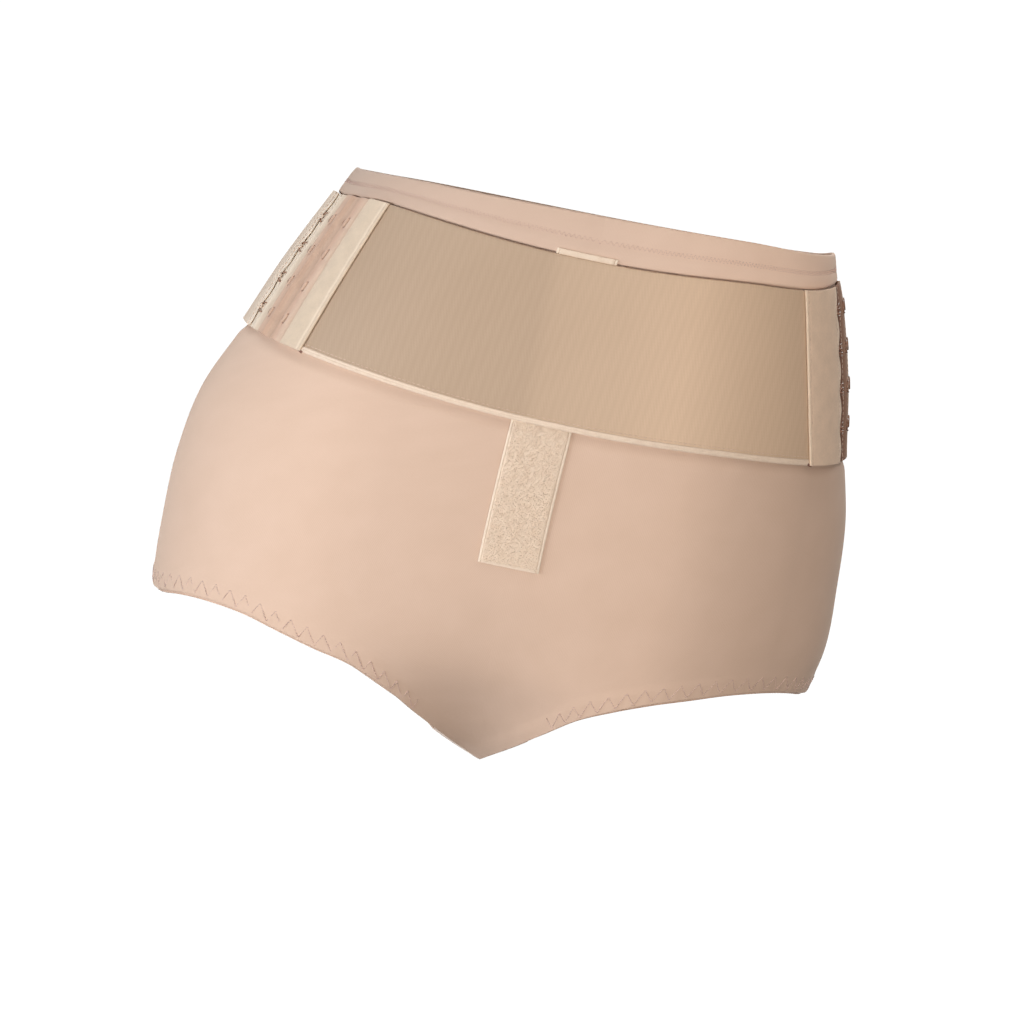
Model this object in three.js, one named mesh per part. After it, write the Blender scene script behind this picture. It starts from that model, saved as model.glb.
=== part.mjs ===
// A high-waisted support brief with an abdominal binder belt worn over it, in the shape that it has on
// the body. Millimetres, +Z up, front towards -Y, origin at the centre of the waist opening.
import * as THREE from 'three';

// The body's form: half widths, depths and heights
const hipHalfWidth = 168;
const bellyDepth = 109;
const seatDepth = 128;
const crotchDrop = 278; // from the waist opening down to the crotch
const lean = 12; // how far the middle line strays to the left at the hip
const squareness = 2.3; // of each cross-section, where 2 is an ellipse
const grooveWidth = 52; // of the groove between the thighs

const beltHeight = 85;
const legHemRise = 66; // the highest stretch of the leg hems above the crotch

// The cloth
const gap = 0.3; // left between pieces that touch
const knitThickness = 1.0;
const waistbandThickness = 1.8;
const pileThickness = 0.8;
const netThickness = 1.1;
const tapeThickness = 1.2;
const elasticThickness = 1.0;
const elasticHeight = 5.5;
const elasticShows = 1.6; // below the hem
const elasticGap = 0.6; // behind the knit, where the hem turns sharply at the gusset
const beltPress = 1.5; // how far the belt presses in
const pressEase = 7; // the height over which the cloth eases back out

// The strip of pile down the middle of the front
const stripWidth = 31;
const stripTab = 3; // shows above the belt
const stripBottomDrop = 170;
const stripLeans = 4; // its top lies this far to the left of its lower end
const edgeNear = 2; // a row that comes this near the strip's lower end is left out

// The belt's lengths, measured round the body from the middle of the front
const panelLeftTop = 112;
const panelLeftBottom = 134;
const panelRightTop = 116;
const panelRightBottom = 146;
const bindingHeight = 3;
const casingWidth = 15;
const casingThickness = 1.3;
const eyeTapeWidth = 50;
const hookTapeWidth = 33;
const scallopDepth = 2.4;
const casingCover = 4; // how far the panel runs under the casing
const tapeCover = 6; // how far the right eye tape runs under the hook tape

// Hooks and eyes
const rowPitch = 19;
const rowsOfEyes = 4;
const leftRowsDrop = 1.5; // of the rows' middle below the belt's
const rightRowsDrop = -3;
const columnPitch = 16;
const columnsOfEyes = 3;
const firstColumn = 4; // from the edge of the tape that shows
const wire = 0.8;
const eyeLength = 5;
const eyeWidth = 5.5;
const hookLength = 4.2;
const hookWidth = 2;
const hookClearance = 1.6; // between a hook tape's edge and the eyes' round ends
const wireSides = 5;
const wireSteps = 10;

// The gusset
const gussetFrontShare = 0.15; // of the half width at the crotch
const gussetBackShare = 0.18;
const gussetSag = 3;
const gussetWaist = 0.12; // how much narrower it is half way

// How finely the cloth is divided
const columnsRound = 56;
const columnsOfFront = 26;
const columnsOfBack = 22;
const rowsOfBelt = 4;
const rowsOfBrief = 7; // below the belt
const rowsOfScallop = 6;

// Cross-sections from above the waist to the crotch. drop is a share of crotchDrop, middle of lean, left and
// right of hipHalfWidth, front of bellyDepth and back of seatDepth.
const sections = [
  { drop: -0.06, middle: 0.0, left: 0.69, right: 0.697, front: 0.83, back: 0.67 },
  { drop: 0.0, middle: 0.0, left: 0.705, right: 0.714, front: 0.85, back: 0.69 },
  { drop: 0.07, middle: 0.18, left: 0.748, right: 0.772, front: 0.88, back: 0.72 },
  { drop: 0.21, middle: 0.5, left: 0.832, right: 0.86, front: 0.945, back: 0.8 },
  { drop: 0.34, middle: 0.7, left: 0.902, right: 0.915, front: 0.98, back: 0.87 },
  { drop: 0.46, middle: 0.88, left: 0.973, right: 0.973, front: 1.0, back: 0.94 },
  { drop: 0.58, middle: 1.0, left: 0.997, right: 0.997, front: 1.0, back: 0.985 },
  { drop: 0.69, middle: 1.0, left: 1.0, right: 1.0, front: 0.98, back: 1.0 },
  { drop: 0.81, middle: 0.9, left: 0.996, right: 0.953, front: 0.945, back: 0.97 },
  { drop: 0.9, middle: 0.6, left: 0.98, right: 0.935, front: 0.9, back: 0.88 },
  { drop: 0.955, middle: 0.35, left: 0.97, right: 0.94, front: 0.87, back: 0.81 },
  { drop: 1.0, middle: 0.17, left: 0.96, right: 0.93, front: 0.84, back: 0.75 },
];

// The grooves that run down to the crotch, as shares of the section's own depth
const grooves = [
  { drop: 0.0, front: 0, back: 0 },
  { drop: 0.46, front: 0, back: 0 },
  { drop: 0.58, front: 0, back: 0.01 },
  { drop: 0.69, front: 0, back: 0.02 },
  { drop: 0.81, front: 0.08, back: 0.06 },
  { drop: 0.9, front: 0.28, back: 0.25 },
  { drop: 0.955, front: 0.46, back: 0.43 },
  { drop: 1.0, front: 0.66, back: 0.6 },
];

// The edges round the waist, at degrees from the middle of the front. The heights are shares of beltHeight
// above the waist opening, and the first and last rows repeat those across the middle of the back.
const edges = [
  { turn: -220, waistTop: -0.124, beltTop: -0.3, beltBottom: -1.247 },
  { turn: -180, waistTop: -0.176, beltTop: -0.353, beltBottom: -1.306 },
  { turn: -135, waistTop: -0.147, beltTop: -0.324, beltBottom: -1.271 },
  { turn: -110, waistTop: -0.1, beltTop: -0.277, beltBottom: -1.15 },
  { turn: -90, waistTop: -0.038, beltTop: -0.212, beltBottom: -1.07 },
  { turn: -60, waistTop: 0.047, beltTop: -0.125, beltBottom: -1.06 },
  { turn: -40, waistTop: 0.088, beltTop: -0.115, beltBottom: -1.08 },
  { turn: 0, waistTop: 0.129, beltTop: -0.14, beltBottom: -1.141 },
  { turn: 35, waistTop: 0.129, beltTop: -0.114, beltBottom: -1.129 },
  { turn: 60, waistTop: 0.088, beltTop: -0.127, beltBottom: -1.13 },
  { turn: 90, waistTop: 0.035, beltTop: -0.129, beltBottom: -1.13 },
  { turn: 115, waistTop: -0.059, beltTop: -0.235, beltBottom: -1.188 },
  { turn: 140, waistTop: -0.124, beltTop: -0.3, beltBottom: -1.247 },
  { turn: 180, waistTop: -0.176, beltTop: -0.353, beltBottom: -1.306 },
  { turn: 225, waistTop: -0.147, beltTop: -0.324, beltBottom: -1.271 },
];

// The leg hems. across is the share of the half width, and the heights above the crotch are shares of
// legHemRise.
const hems = [
  { across: 0.0, frontLeft: 0.0, frontRight: 0.0, backLeft: 0.0, backRight: 0.0 },
  { across: 0.1, frontLeft: 0.15, frontRight: 0.19, backLeft: 0.03, backRight: 0.04 },
  { across: 0.2, frontLeft: 0.32, frontRight: 0.38, backLeft: 0.08, backRight: 0.12 },
  { across: 0.3, frontLeft: 0.5, frontRight: 0.56, backLeft: 0.16, backRight: 0.23 },
  { across: 0.42, frontLeft: 0.645, frontRight: 0.7, backLeft: 0.27, backRight: 0.34 },
  { across: 0.53, frontLeft: 0.705, frontRight: 0.8, backLeft: 0.34, backRight: 0.44 },
  { across: 0.64, frontLeft: 0.77, frontRight: 0.88, backLeft: 0.44, backRight: 0.56 },
  { across: 0.75, frontLeft: 0.83, frontRight: 0.955, backLeft: 0.55, backRight: 0.68 },
  { across: 0.86, frontLeft: 0.84, frontRight: 1.0, backLeft: 0.64, backRight: 0.81 },
  { across: 0.94, frontLeft: 0.81, frontRight: 1.0, backLeft: 0.68, backRight: 0.89 },
  { across: 1.0, frontLeft: 0.745, frontRight: 0.96, backLeft: 0.745, backRight: 0.96 },
];

// Layers, out from the body
const stripInner = knitThickness + gap;
const beltInner = stripInner + pileThickness + gap;
const beltOuter = beltInner + netThickness;
const coverInner = beltOuter + gap;
const stripOverBand = waistbandThickness + gap;
const eyeHeight = beltOuter + gap + wire / 2;

function mix(a, b, t) {
  return a + (b - a) * t;
}

function smooth(t) {
  const s = Math.min(1, Math.max(0, t));
  return s * s * (3 - 2 * s);
}

function sharesFrom(count) {
  return Array.from({ length: count + 1 }, (_, i) => i / count);
}

// A smooth curve through one column of a table, read at x of its first column
function readTable(table, key, column, x) {
  let i = 0;
  while (i < table.length - 2 && x > table[i + 1][key]) i += 1;
  const slope = (j) => {
    const a = table[Math.max(0, j - 1)];
    const b = table[Math.min(table.length - 1, j + 1)];
    return (b[column] - a[column]) / (b[key] - a[key]);
  };
  const step = table[i + 1][key] - table[i][key];
  const t = Math.min(1, Math.max(0, (x - table[i][key]) / step));
  const t2 = t * t;
  const t3 = t2 * t;
  return table[i][column] * (2 * t3 - 3 * t2 + 1) + slope(i) * step * (t3 - 2 * t2 + t)
    + table[i + 1][column] * (3 * t2 - 2 * t3) + slope(i + 1) * step * (t3 - t2);
}

function section(z, column) {
  return readTable(sections, 'drop', column, -z / crotchDrop);
}

// The share of the half width that an angle lies at. Angles start at the middle of the front and grow to +X.
function acrossAt(angle) {
  return Math.sign(Math.sin(angle)) * Math.abs(Math.sin(angle)) ** (2 / squareness);
}

function bodyPoint(angle, z) {
  const across = acrossAt(angle);
  const middle = section(z, 'middle') * -lean;
  const x = across * hipHalfWidth * section(z, across < 0 ? 'left' : 'right');
  const cosine = Math.cos(angle);
  const forward = cosine > 0;
  const face = forward ? 'front' : 'back';
  const depth = (forward ? bellyDepth : seatDepth) * section(z, face);
  const groove = readTable(grooves, 'drop', face, -z / crotchDrop) * Math.exp(-((x / grooveWidth) ** 2));
  const y = -Math.sign(cosine) * depth * Math.abs(cosine) ** (2 / squareness) * (1 - groove);
  return new THREE.Vector3(middle + x, y, z);
}

function bodyNormal(angle, z) {
  const step = 0.01;
  const round = bodyPoint(angle + step, z).sub(bodyPoint(angle - step, z));
  const up = bodyPoint(angle, z + 1).sub(bodyPoint(angle, z - 1));
  return round.cross(up).normalize();
}

// Heights of the edges at an angle
function edgeAt(angle, column) {
  const turn = Math.atan2(Math.sin(angle), Math.cos(angle)) * 180 / Math.PI;
  return beltHeight * readTable(edges, 'turn', column, turn);
}

const waistTopAt = (angle) => edgeAt(angle, 'waistTop');
const beltTopAt = (angle) => edgeAt(angle, 'beltTop');
const beltBottomAt = (angle) => edgeAt(angle, 'beltBottom');

function hemAt(angle) {
  const side = Math.sin(angle) < 0 ? 'Left' : 'Right';
  const column = (Math.cos(angle) > 0 ? 'front' : 'back') + side;
  return legHemRise * readTable(hems, 'across', column, Math.abs(acrossAt(angle))) - crotchDrop;
}

// How far the belt presses the cloth in
function pressAt(angle, z) {
  const above = 1 - smooth((z - beltTopAt(angle)) / pressEase);
  const below = 1 - smooth((beltBottomAt(angle) - z) / pressEase);
  return beltPress * Math.min(above, below);
}

function clothPoint(angle, z, out) {
  return bodyPoint(angle, z).addScaledVector(bodyNormal(angle, z), out - pressAt(angle, z));
}

// The angle that lies at a distance round the body from the middle of the front, positive to +X
const roundSteps = 480;
const rounds = new Map();
function angleAt(distance, z) {
  const key = z.toFixed(2);
  if (!rounds.has(key)) {
    const lengths = [0];
    let before = bodyPoint(0, z);
    for (let i = 1; i <= roundSteps; i += 1) {
      const here = bodyPoint(2 * Math.PI * i / roundSteps, z);
      lengths.push(lengths[i - 1] + here.distanceTo(before));
      before = here;
    }
    rounds.set(key, lengths);
  }
  const lengths = rounds.get(key);
  const wanted = distance < 0 ? distance + lengths[roundSteps] : distance;
  let i = 1;
  while (i < roundSteps && lengths[i] < wanted) i += 1;
  const share = (wanted - lengths[i - 1]) / (lengths[i] - lengths[i - 1]);
  const angle = 2 * Math.PI * (i - 1 + share) / roundSteps;
  return distance < 0 ? angle - 2 * Math.PI : angle;
}

// A closed wall over a grid of shares. place(across, down, layer) gives the point, with layer 0 for the inner
// face and 1 for the outer one. A ring joins its last column to its first.
function wall(across, down, place, ring = false) {
  const wide = across.length;
  const high = down.length;
  const positions = [];
  const index = [];
  for (const layer of [0, 1]) {
    for (const u of across) {
      for (const v of down) positions.push(...place(u, v, layer).toArray());
    }
  }
  const at = (i, j, layer) => (layer * wide + (i % wide)) * high + j;
  const quad = (a, b, c, d) => index.push(a, b, c, a, c, d);
  const spans = ring ? wide : wide - 1;
  for (let i = 0; i < spans; i += 1) {
    for (let j = 0; j < high - 1; j += 1) {
      quad(at(i, j, 1), at(i, j + 1, 1), at(i + 1, j + 1, 1), at(i + 1, j, 1));
      quad(at(i, j, 0), at(i + 1, j, 0), at(i + 1, j + 1, 0), at(i, j + 1, 0));
    }
    quad(at(i, 0, 0), at(i, 0, 1), at(i + 1, 0, 1), at(i + 1, 0, 0));
    quad(at(i, high - 1, 0), at(i + 1, high - 1, 0), at(i + 1, high - 1, 1), at(i, high - 1, 1));
  }
  if (!ring) {
    for (let j = 0; j < high - 1; j += 1) {
      quad(at(0, j, 0), at(0, j + 1, 0), at(0, j + 1, 1), at(0, j, 1));
      quad(at(wide - 1, j, 0), at(wide - 1, j, 1), at(wide - 1, j + 1, 1), at(wide - 1, j + 1, 0));
    }
  }
  const geometry = new THREE.BufferGeometry();
  geometry.setAttribute('position', new THREE.Float32BufferAttribute(positions, 3));
  geometry.setIndex(index);
  geometry.computeVertexNormals();
  return geometry;
}

const group = new THREE.Group();
const cloth = (color, roughness = 0.85) => ({ color, roughness, metalness: 0 });
const knit = cloth(0xd9baa2);
const bandKnit = cloth(0xd2b5a0);
const powerNet = cloth(0xc4a68c);
const pile = cloth(0xdcc2a4, 0.95);
const cream = cloth(0xe0cdb4);
const tape = cloth(0xd3b89e);
const steel = { color: 0xc9bfb2, roughness: 0.35, metalness: 0.8 };

function add(name, geometry, finish) {
  const mesh = new THREE.Mesh(geometry, new THREE.MeshStandardMaterial(finish));
  mesh.name = name;
  group.add(mesh);
}

// The brief

function ringAngles() {
  return Array.from({ length: columnsRound }, (_, i) => 2 * Math.PI * i / columnsRound);
}

// The rows of the brief lie close together where the belt's edges press, and evenly below
function briefRows(angle) {
  const top = beltTopAt(angle) + gap;
  const hem = hemAt(angle);
  const bottom = beltBottomAt(angle);
  const underBelt = [0.33, 0.66].map((share) => mix(top, bottom, share));
  const ease = [0, 0.5, 1].map((share) => bottom - share * pressEase);
  const aboveHem = hem + elasticHeight - elasticShows;
  const free = sharesFrom(rowsOfBrief).slice(1).map((share) => mix(ease[2], aboveHem, share));
  return [top, ...underBelt, ...ease, ...free, hem];
}

function brief() {
  const rows = briefRows(0).map((_, i) => i);
  const place = (angle, row, layer) => clothPoint(angle, briefRows(angle)[row], layer * knitThickness);
  return wall(ringAngles(), rows, place, true);
}

function waistband() {
  const shares = [0, 0.35, 0.7, 0.85, 1];
  const place = (angle, share, layer) => {
    const z = mix(waistTopAt(angle), beltTopAt(angle) + 2 * gap, share);
    return clothPoint(angle, z, layer * waistbandThickness);
  };
  return wall(ringAngles(), shares, place, true);
}

// The gusset hangs between the front's lower edge and the back's, and follows the shape of both
function gussetPoint(across, along, out) {
  const sideways = gussetFrontShare + (gussetBackShare - gussetFrontShare) * along;
  const narrowing = 1 - gussetWaist * Math.sin(Math.PI * along);
  const angle = (share) => Math.sign(share) * Math.asin(Math.abs(share) ** (squareness / 2));
  const frontAngle = angle(across * gussetFrontShare);
  const backAngle = Math.PI - angle(across * gussetBackShare);
  const front = clothPoint(frontAngle, hemAt(frontAngle), 0);
  const back = clothPoint(backAngle, hemAt(backAngle), 0);
  const point = front.clone().lerp(back, along);
  const middle = mix(front.x, back.x, along) - across * sideways * hipHalfWidth;
  point.x = middle + (point.x - middle) * narrowing;
  point.z -= gussetSag * Math.sin(Math.PI * along) + out;
  return point;
}

// Shares along the gusset, which stops a little short of the brief at both ends
const gussetLength = bodyPoint(0, hemAt(0)).distanceTo(bodyPoint(Math.PI, hemAt(Math.PI)));
const gussetRows = sharesFrom(8).map((share) => mix(gap, gussetLength - gap, share) / gussetLength);
const hemInward = (elasticHeight - elasticShows) / (gussetFrontShare * hipHalfWidth);

function gusset() {
  const across = [1, 1 - hemInward, 0.5, 0, -0.5, hemInward - 1, -1];
  return wall(gussetRows, across, (t, side, layer) => gussetPoint(side, t, layer * knitThickness));
}

// The narrow elastic under one leg's hem, as a closed loop round the leg opening
function legElastic(side) {
  const start = Math.asin(gussetFrontShare ** (squareness / 2));
  const end = Math.PI - Math.asin(gussetBackShare ** (squareness / 2));
  const step = 2 * Math.PI / columnsRound;
  const hidden = elasticHeight - elasticShows;
  const between = ringAngles().filter((angle) => angle > start + step / 2 && angle < end - step / 2);
  const onBrief = [start, ...between, end].map((angle) => {
    const hem = hemAt(side * angle);
    return { edge: bodyPoint(side * angle, hem), upper: bodyPoint(side * angle, hem + hidden) };
  });
  const onGusset = gussetRows.map((share) => (
    { edge: gussetPoint(side, 1 - share, 0), upper: gussetPoint(side * (1 - hemInward), 1 - share, 0) }
  ));
  const route = [...onBrief, ...onGusset];
  const count = route.length;
  const place = (i, share, layer) => {
    const { edge, upper } = route[i];
    const tangent = route[(i + 1) % count].edge.clone().sub(route[(i + count - 1) % count].edge);
    const rise = upper.clone().sub(edge).normalize();
    const normal = tangent.cross(rise).multiplyScalar(side).normalize();
    const along = edge.clone().addScaledVector(rise, mix(-elasticShows, hidden, share));
    return along.addScaledVector(normal, -elasticGap - (1 - layer) * elasticThickness);
  };
  const across = route.map((_, i) => i);
  return wall(side > 0 ? across : across.reverse(), [1, 0], place, true);
}

// The strip's rows lie where the brief's do, and its top end steps out over the waistband
function stripRows(angle) {
  const top = beltTopAt(angle);
  const onBrief = briefRows(angle).slice(1).filter((z) => z > edgeNear - stripBottomDrop);
  return [top + stripTab, top + stripTab / 2, top + 2 * gap, top, ...onBrief, -stripBottomDrop];
}

function loopStrip() {
  const rows = stripRows(0);
  const place = (across, row, layer) => {
    const aside = stripLeans * (rows[row] + stripBottomDrop) / (rows[0] + stripBottomDrop);
    const angle = angleAt(across * stripWidth - aside, rows[row]);
    const z = stripRows(angle)[row];
    const inner = z > beltTopAt(angle) ? stripOverBand : stripInner;
    return clothPoint(angle, z, inner + layer * pileThickness);
  };
  return wall([-0.5, -0.25, 0, 0.25, 0.5], rows.map((_, i) => i), place);
}

// The belt

function beltZ(angle, down) {
  return mix(beltTopAt(angle), beltBottomAt(angle), down);
}

// The angle of a place on the belt, by its distance round the body and its share of the way down
function beltAngle(distance, down) {
  let angle = Math.sign(distance) * Math.PI / 2;
  for (let pass = 0; pass < 5; pass += 1) angle = angleAt(distance, beltZ(angle, down));
  return angle;
}

// A piece of the belt between two edges, each given by its distance round the body at a share of the way down
function beltPiece({ from, to, down = beltRows, columns, inner, thickness, throughBack = false }) {
  const place = (across, share, layer) => {
    const start = beltAngle(from(share), share);
    const end = beltAngle(to(share), share) + (throughBack ? 2 * Math.PI : 0);
    const angle = mix(start, end, across);
    return clothPoint(angle, beltZ(angle, share), inner + layer * thickness);
  };
  return wall(sharesFrom(columns), down, place);
}

const beltRows = sharesFrom(rowsOfBelt);
const bindingShare = bindingHeight / beltHeight;
const panelRows = beltRows.map((share) => share * (1 - bindingShare - gap / beltHeight));
const bindingRows = [1 - bindingShare, 1];

// Edges, from the middle of the front towards each side, at a share of the way down
const leftEdge = (down) => -mix(panelLeftTop, panelLeftBottom, down);
const rightEdge = (down) => mix(panelRightTop, panelRightBottom, down);
const panelLeftEnd = (down) => leftEdge(down) - casingCover;
const leftCasingEnd = (down) => leftEdge(down) - casingWidth;
const leftEyeTapeEnd = (down) => leftCasingEnd(down) - eyeTapeWidth;
const rightNotches = (down) => rightEdge(down) + hookTapeWidth - scallopDepth;
const panelRightEnd = (down) => rightNotches(down) - tapeCover - gap;
const rightEyeTapeStart = (down) => rightNotches(down) - tapeCover;
const rightEyeTapeEnd = (down) => rightEyeTapeStart(down) + eyeTapeWidth;

// The columns of eyes. On the left they count away from the casing and on the right towards the back.
const leftColumn = (down, column) => leftCasingEnd(down) - firstColumn - column * columnPitch;
const leftNotches = (down) => leftColumn(down, columnsOfEyes - 1) - eyeLength - hookClearance;
const rightColumn = (down, column) => rightNotches(down) + hookClearance + eyeLength + column * columnPitch;

// Share of the way down the belt at which a row of eyes lies, with the rows' middle a drop below the belt's
function rowShare(row, drop) {
  return 0.5 + (drop + (row - (rowsOfEyes - 1) / 2) * rowPitch) / beltHeight;
}

// A scalloped edge is cut back at each hook and full between them
function scallop(down, drop) {
  const turns = (down - rowShare(0, drop)) * beltHeight / rowPitch;
  return scallopDepth * (1 - Math.cos(2 * Math.PI * turns)) / 2;
}

function wireAlong(points) {
  const section = new THREE.Shape();
  for (let i = 0; i < wireSides; i += 1) {
    const turn = 2 * Math.PI * i / wireSides;
    const x = Math.cos(turn) * wire / 2;
    const y = Math.sin(turn) * wire / 2;
    if (i === 0) section.moveTo(x, y);
    else section.lineTo(x, y);
  }
  section.closePath();
  const extrudePath = new THREE.CatmullRomCurve3(points);
  return new THREE.ExtrudeGeometry(section, { steps: wireSteps, bevelEnabled: false, extrudePath });
}

// A point beside a place on the belt: away along the belt, below it, and out from the body
function besideBelt(edge, share, away, below, out) {
  const down = share + below / beltHeight;
  const angle = beltAngle(edge(down) + away, down);
  return clothPoint(angle, beltZ(angle, down), out);
}

// A wire loop that lies on its tape at a share of the way down, with its round end towards side
function eye(edge, share, side) {
  const outline = [[0, -0.5], [0.5, -0.5], [0.9, -0.3], [1, 0], [0.9, 0.3], [0.5, 0.5], [0, 0.5]];
  return wireAlong(outline.map(([length, width]) => (
    besideBelt(edge, share, side * length * eyeLength, width * eyeWidth, eyeHeight)
  )));
}

// A wire hairpin that starts at the hook tape's edge, passes over the eye's round end and dips inside it
function hook(edge, share, side) {
  const over = beltOuter + gap + wire + gap + wire / 2;
  const low = beltOuter + gap + wire / 2;
  const start = coverInner + tapeThickness / 2;
  const tip = mix(over, low, 0.6);
  const leg = [[0.12, 0.5, start], [0.35, 0.5, over], [0.75, 0.5, over], [1, 0.3, tip]];
  const outline = [...leg, ...leg.map(([length, width, out]) => [length, -width, out]).reverse()];
  return wireAlong(outline.map(([length, width, out]) => (
    besideBelt(edge, share, side * length * hookLength, width * hookWidth, out)
  )));
}

add('brief_shell', brief(), knit);
add('waistband', waistband(), bandKnit);
add('gusset', gusset(), knit);
add('leg_elastic_left', legElastic(-1), bandKnit);
add('leg_elastic_right', legElastic(1), bandKnit);
add('loop_strip', loopStrip(), pile);

const netLayer = { inner: beltInner, thickness: netThickness };
const front = { from: panelLeftEnd, to: panelRightEnd, columns: columnsOfFront, ...netLayer };
const back = {
  from: (down) => rightEyeTapeEnd(down) + gap,
  to: (down) => leftEyeTapeEnd(down) - gap,
  columns: columnsOfBack,
  throughBack: true,
  ...netLayer,
};
add('belt_front_panel', beltPiece({ ...front, down: panelRows }), powerNet);
add('belt_front_binding', beltPiece({ ...front, down: bindingRows }), powerNet);
add('belt_back_panel', beltPiece({ ...back, down: panelRows }), powerNet);
add('belt_back_binding', beltPiece({ ...back, down: bindingRows }), powerNet);

add('left_casing', beltPiece({
  from: leftCasingEnd, to: leftEdge, columns: 3, inner: coverInner, thickness: casingThickness,
}), cream);
add('left_eye_tape', beltPiece({
  from: leftEyeTapeEnd,
  to: (down) => panelLeftEnd(down) - gap,
  columns: 7,
  ...netLayer,
}), tape);
add('right_eye_tape', beltPiece({
  from: rightEyeTapeStart, to: rightEyeTapeEnd, columns: 6, ...netLayer,
}), tape);

const scallopRows = sharesFrom(rowsOfEyes * rowsOfScallop);
add('left_hook_tape', beltPiece({
  from: (down) => leftNotches(down) - hookTapeWidth + scallopDepth,
  to: (down) => leftNotches(down) + scallop(down, leftRowsDrop),
  down: scallopRows,
  columns: 4,
  inner: coverInner,
  thickness: tapeThickness,
}), tape);
add('right_hook_tape', beltPiece({
  from: rightEdge,
  to: (down) => rightNotches(down) + scallop(down, rightRowsDrop),
  down: scallopRows,
  columns: 4,
  inner: coverInner,
  thickness: tapeThickness,
}), tape);

for (let row = 0; row < rowsOfEyes; row += 1) {
  const left = rowShare(row, leftRowsDrop);
  const right = rowShare(row, rightRowsDrop);
  for (let column = 0; column < columnsOfEyes; column += 1) {
    const number = column * rowsOfEyes + row + 1;
    add(`left_eye_${number}`, eye((down) => leftColumn(down, column), left, -1), steel);
    add(`right_eye_${number}`, eye((down) => rightColumn(down, column), right, -1), steel);
  }
  add(`left_hook_${row + 1}`, hook(leftNotches, left, 1), steel);
  add(`right_hook_${row + 1}`, hook(rightNotches, right, 1), steel);
}

export default group;
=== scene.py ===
import math
import bpy
import numpy as np
from mathutils import Matrix, Vector


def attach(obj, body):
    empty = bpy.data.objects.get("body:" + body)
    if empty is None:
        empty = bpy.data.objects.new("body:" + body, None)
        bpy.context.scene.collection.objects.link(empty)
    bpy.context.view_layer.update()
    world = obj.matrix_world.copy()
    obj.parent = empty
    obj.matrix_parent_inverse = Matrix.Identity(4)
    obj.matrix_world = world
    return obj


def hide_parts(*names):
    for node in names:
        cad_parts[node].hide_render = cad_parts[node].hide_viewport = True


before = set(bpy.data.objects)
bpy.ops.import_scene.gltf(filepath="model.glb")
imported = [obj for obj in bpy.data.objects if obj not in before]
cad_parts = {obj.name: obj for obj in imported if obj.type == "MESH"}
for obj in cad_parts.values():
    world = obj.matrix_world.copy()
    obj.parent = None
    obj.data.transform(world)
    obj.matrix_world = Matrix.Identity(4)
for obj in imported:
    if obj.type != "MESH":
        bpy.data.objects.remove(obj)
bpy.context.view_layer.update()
print("frame loaded")

# The body's form in millimetres, the same curves as the CAD's, so each cloth lies where its solid does
form = {
    "hipHalfWidth": 168, "bellyDepth": 109, "seatDepth": 128, "crotchDrop": 278, "lean": 12,
    "squareness": 2.3, "grooveWidth": 52, "beltHeight": 85, "legHemRise": 66, "beltPress": 1.5, "pressEase": 7,
}
# drop, middle, left, right, front, back
sections = np.array([
    (-0.06, 0.0, 0.69, 0.697, 0.83, 0.67), (0.0, 0.0, 0.705, 0.714, 0.85, 0.69),
    (0.07, 0.18, 0.748, 0.772, 0.88, 0.72), (0.21, 0.5, 0.832, 0.86, 0.945, 0.8),
    (0.34, 0.7, 0.902, 0.915, 0.98, 0.87), (0.46, 0.88, 0.973, 0.973, 1.0, 0.94),
    (0.58, 1.0, 0.997, 0.997, 1.0, 0.985), (0.69, 1.0, 1.0, 1.0, 0.98, 1.0),
    (0.81, 0.9, 0.996, 0.953, 0.945, 0.97), (0.9, 0.6, 0.98, 0.935, 0.9, 0.88),
    (0.955, 0.35, 0.97, 0.94, 0.87, 0.81), (1.0, 0.17, 0.96, 0.93, 0.84, 0.75),
])
# drop, front, back
grooves = np.array([
    (0.0, 0, 0), (0.46, 0, 0), (0.58, 0, 0.01), (0.69, 0, 0.02),
    (0.81, 0.08, 0.06), (0.9, 0.28, 0.25), (0.955, 0.46, 0.43), (1.0, 0.66, 0.6),
])
# turn from the middle of the front, top of the waistband, top of the belt, bottom of the belt
edges = np.array([
    (-220, -0.124, -0.3, -1.247), (-180, -0.176, -0.353, -1.306), (-135, -0.147, -0.324, -1.271),
    (-110, -0.1, -0.277, -1.15), (-90, -0.038, -0.212, -1.07), (-60, 0.047, -0.125, -1.06),
    (-40, 0.088, -0.115, -1.08), (0, 0.129, -0.14, -1.141), (35, 0.129, -0.114, -1.129),
    (60, 0.088, -0.127, -1.13), (90, 0.035, -0.129, -1.13), (115, -0.059, -0.235, -1.188),
    (140, -0.124, -0.3, -1.247), (180, -0.176, -0.353, -1.306), (225, -0.147, -0.324, -1.271),
])
# share across, front left, front right, back left, back right
hems = np.array([
    (0.0, 0.0, 0.0, 0.0, 0.0), (0.1, 0.15, 0.19, 0.03, 0.04), (0.2, 0.32, 0.38, 0.08, 0.12),
    (0.3, 0.5, 0.56, 0.16, 0.23), (0.42, 0.645, 0.7, 0.27, 0.34), (0.53, 0.705, 0.8, 0.34, 0.44),
    (0.64, 0.77, 0.88, 0.44, 0.56), (0.75, 0.83, 0.955, 0.55, 0.68), (0.86, 0.84, 1.0, 0.64, 0.81),
    (0.94, 0.81, 1.0, 0.68, 0.89), (1.0, 0.745, 0.96, 0.745, 0.96),
])
# Thicknesses and the layers out from the body
cloth = {"gap": 0.3, "knit": 1.0, "waistband": 1.8, "pile": 0.8, "net": 1.1, "tape": 1.2, "casing": 1.3}
stripBase = cloth["knit"] + cloth["gap"]
beltBase = stripBase + cloth["pile"] + cloth["gap"]
beltFace = beltBase + cloth["net"]
coverBase = beltFace + cloth["gap"]


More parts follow.
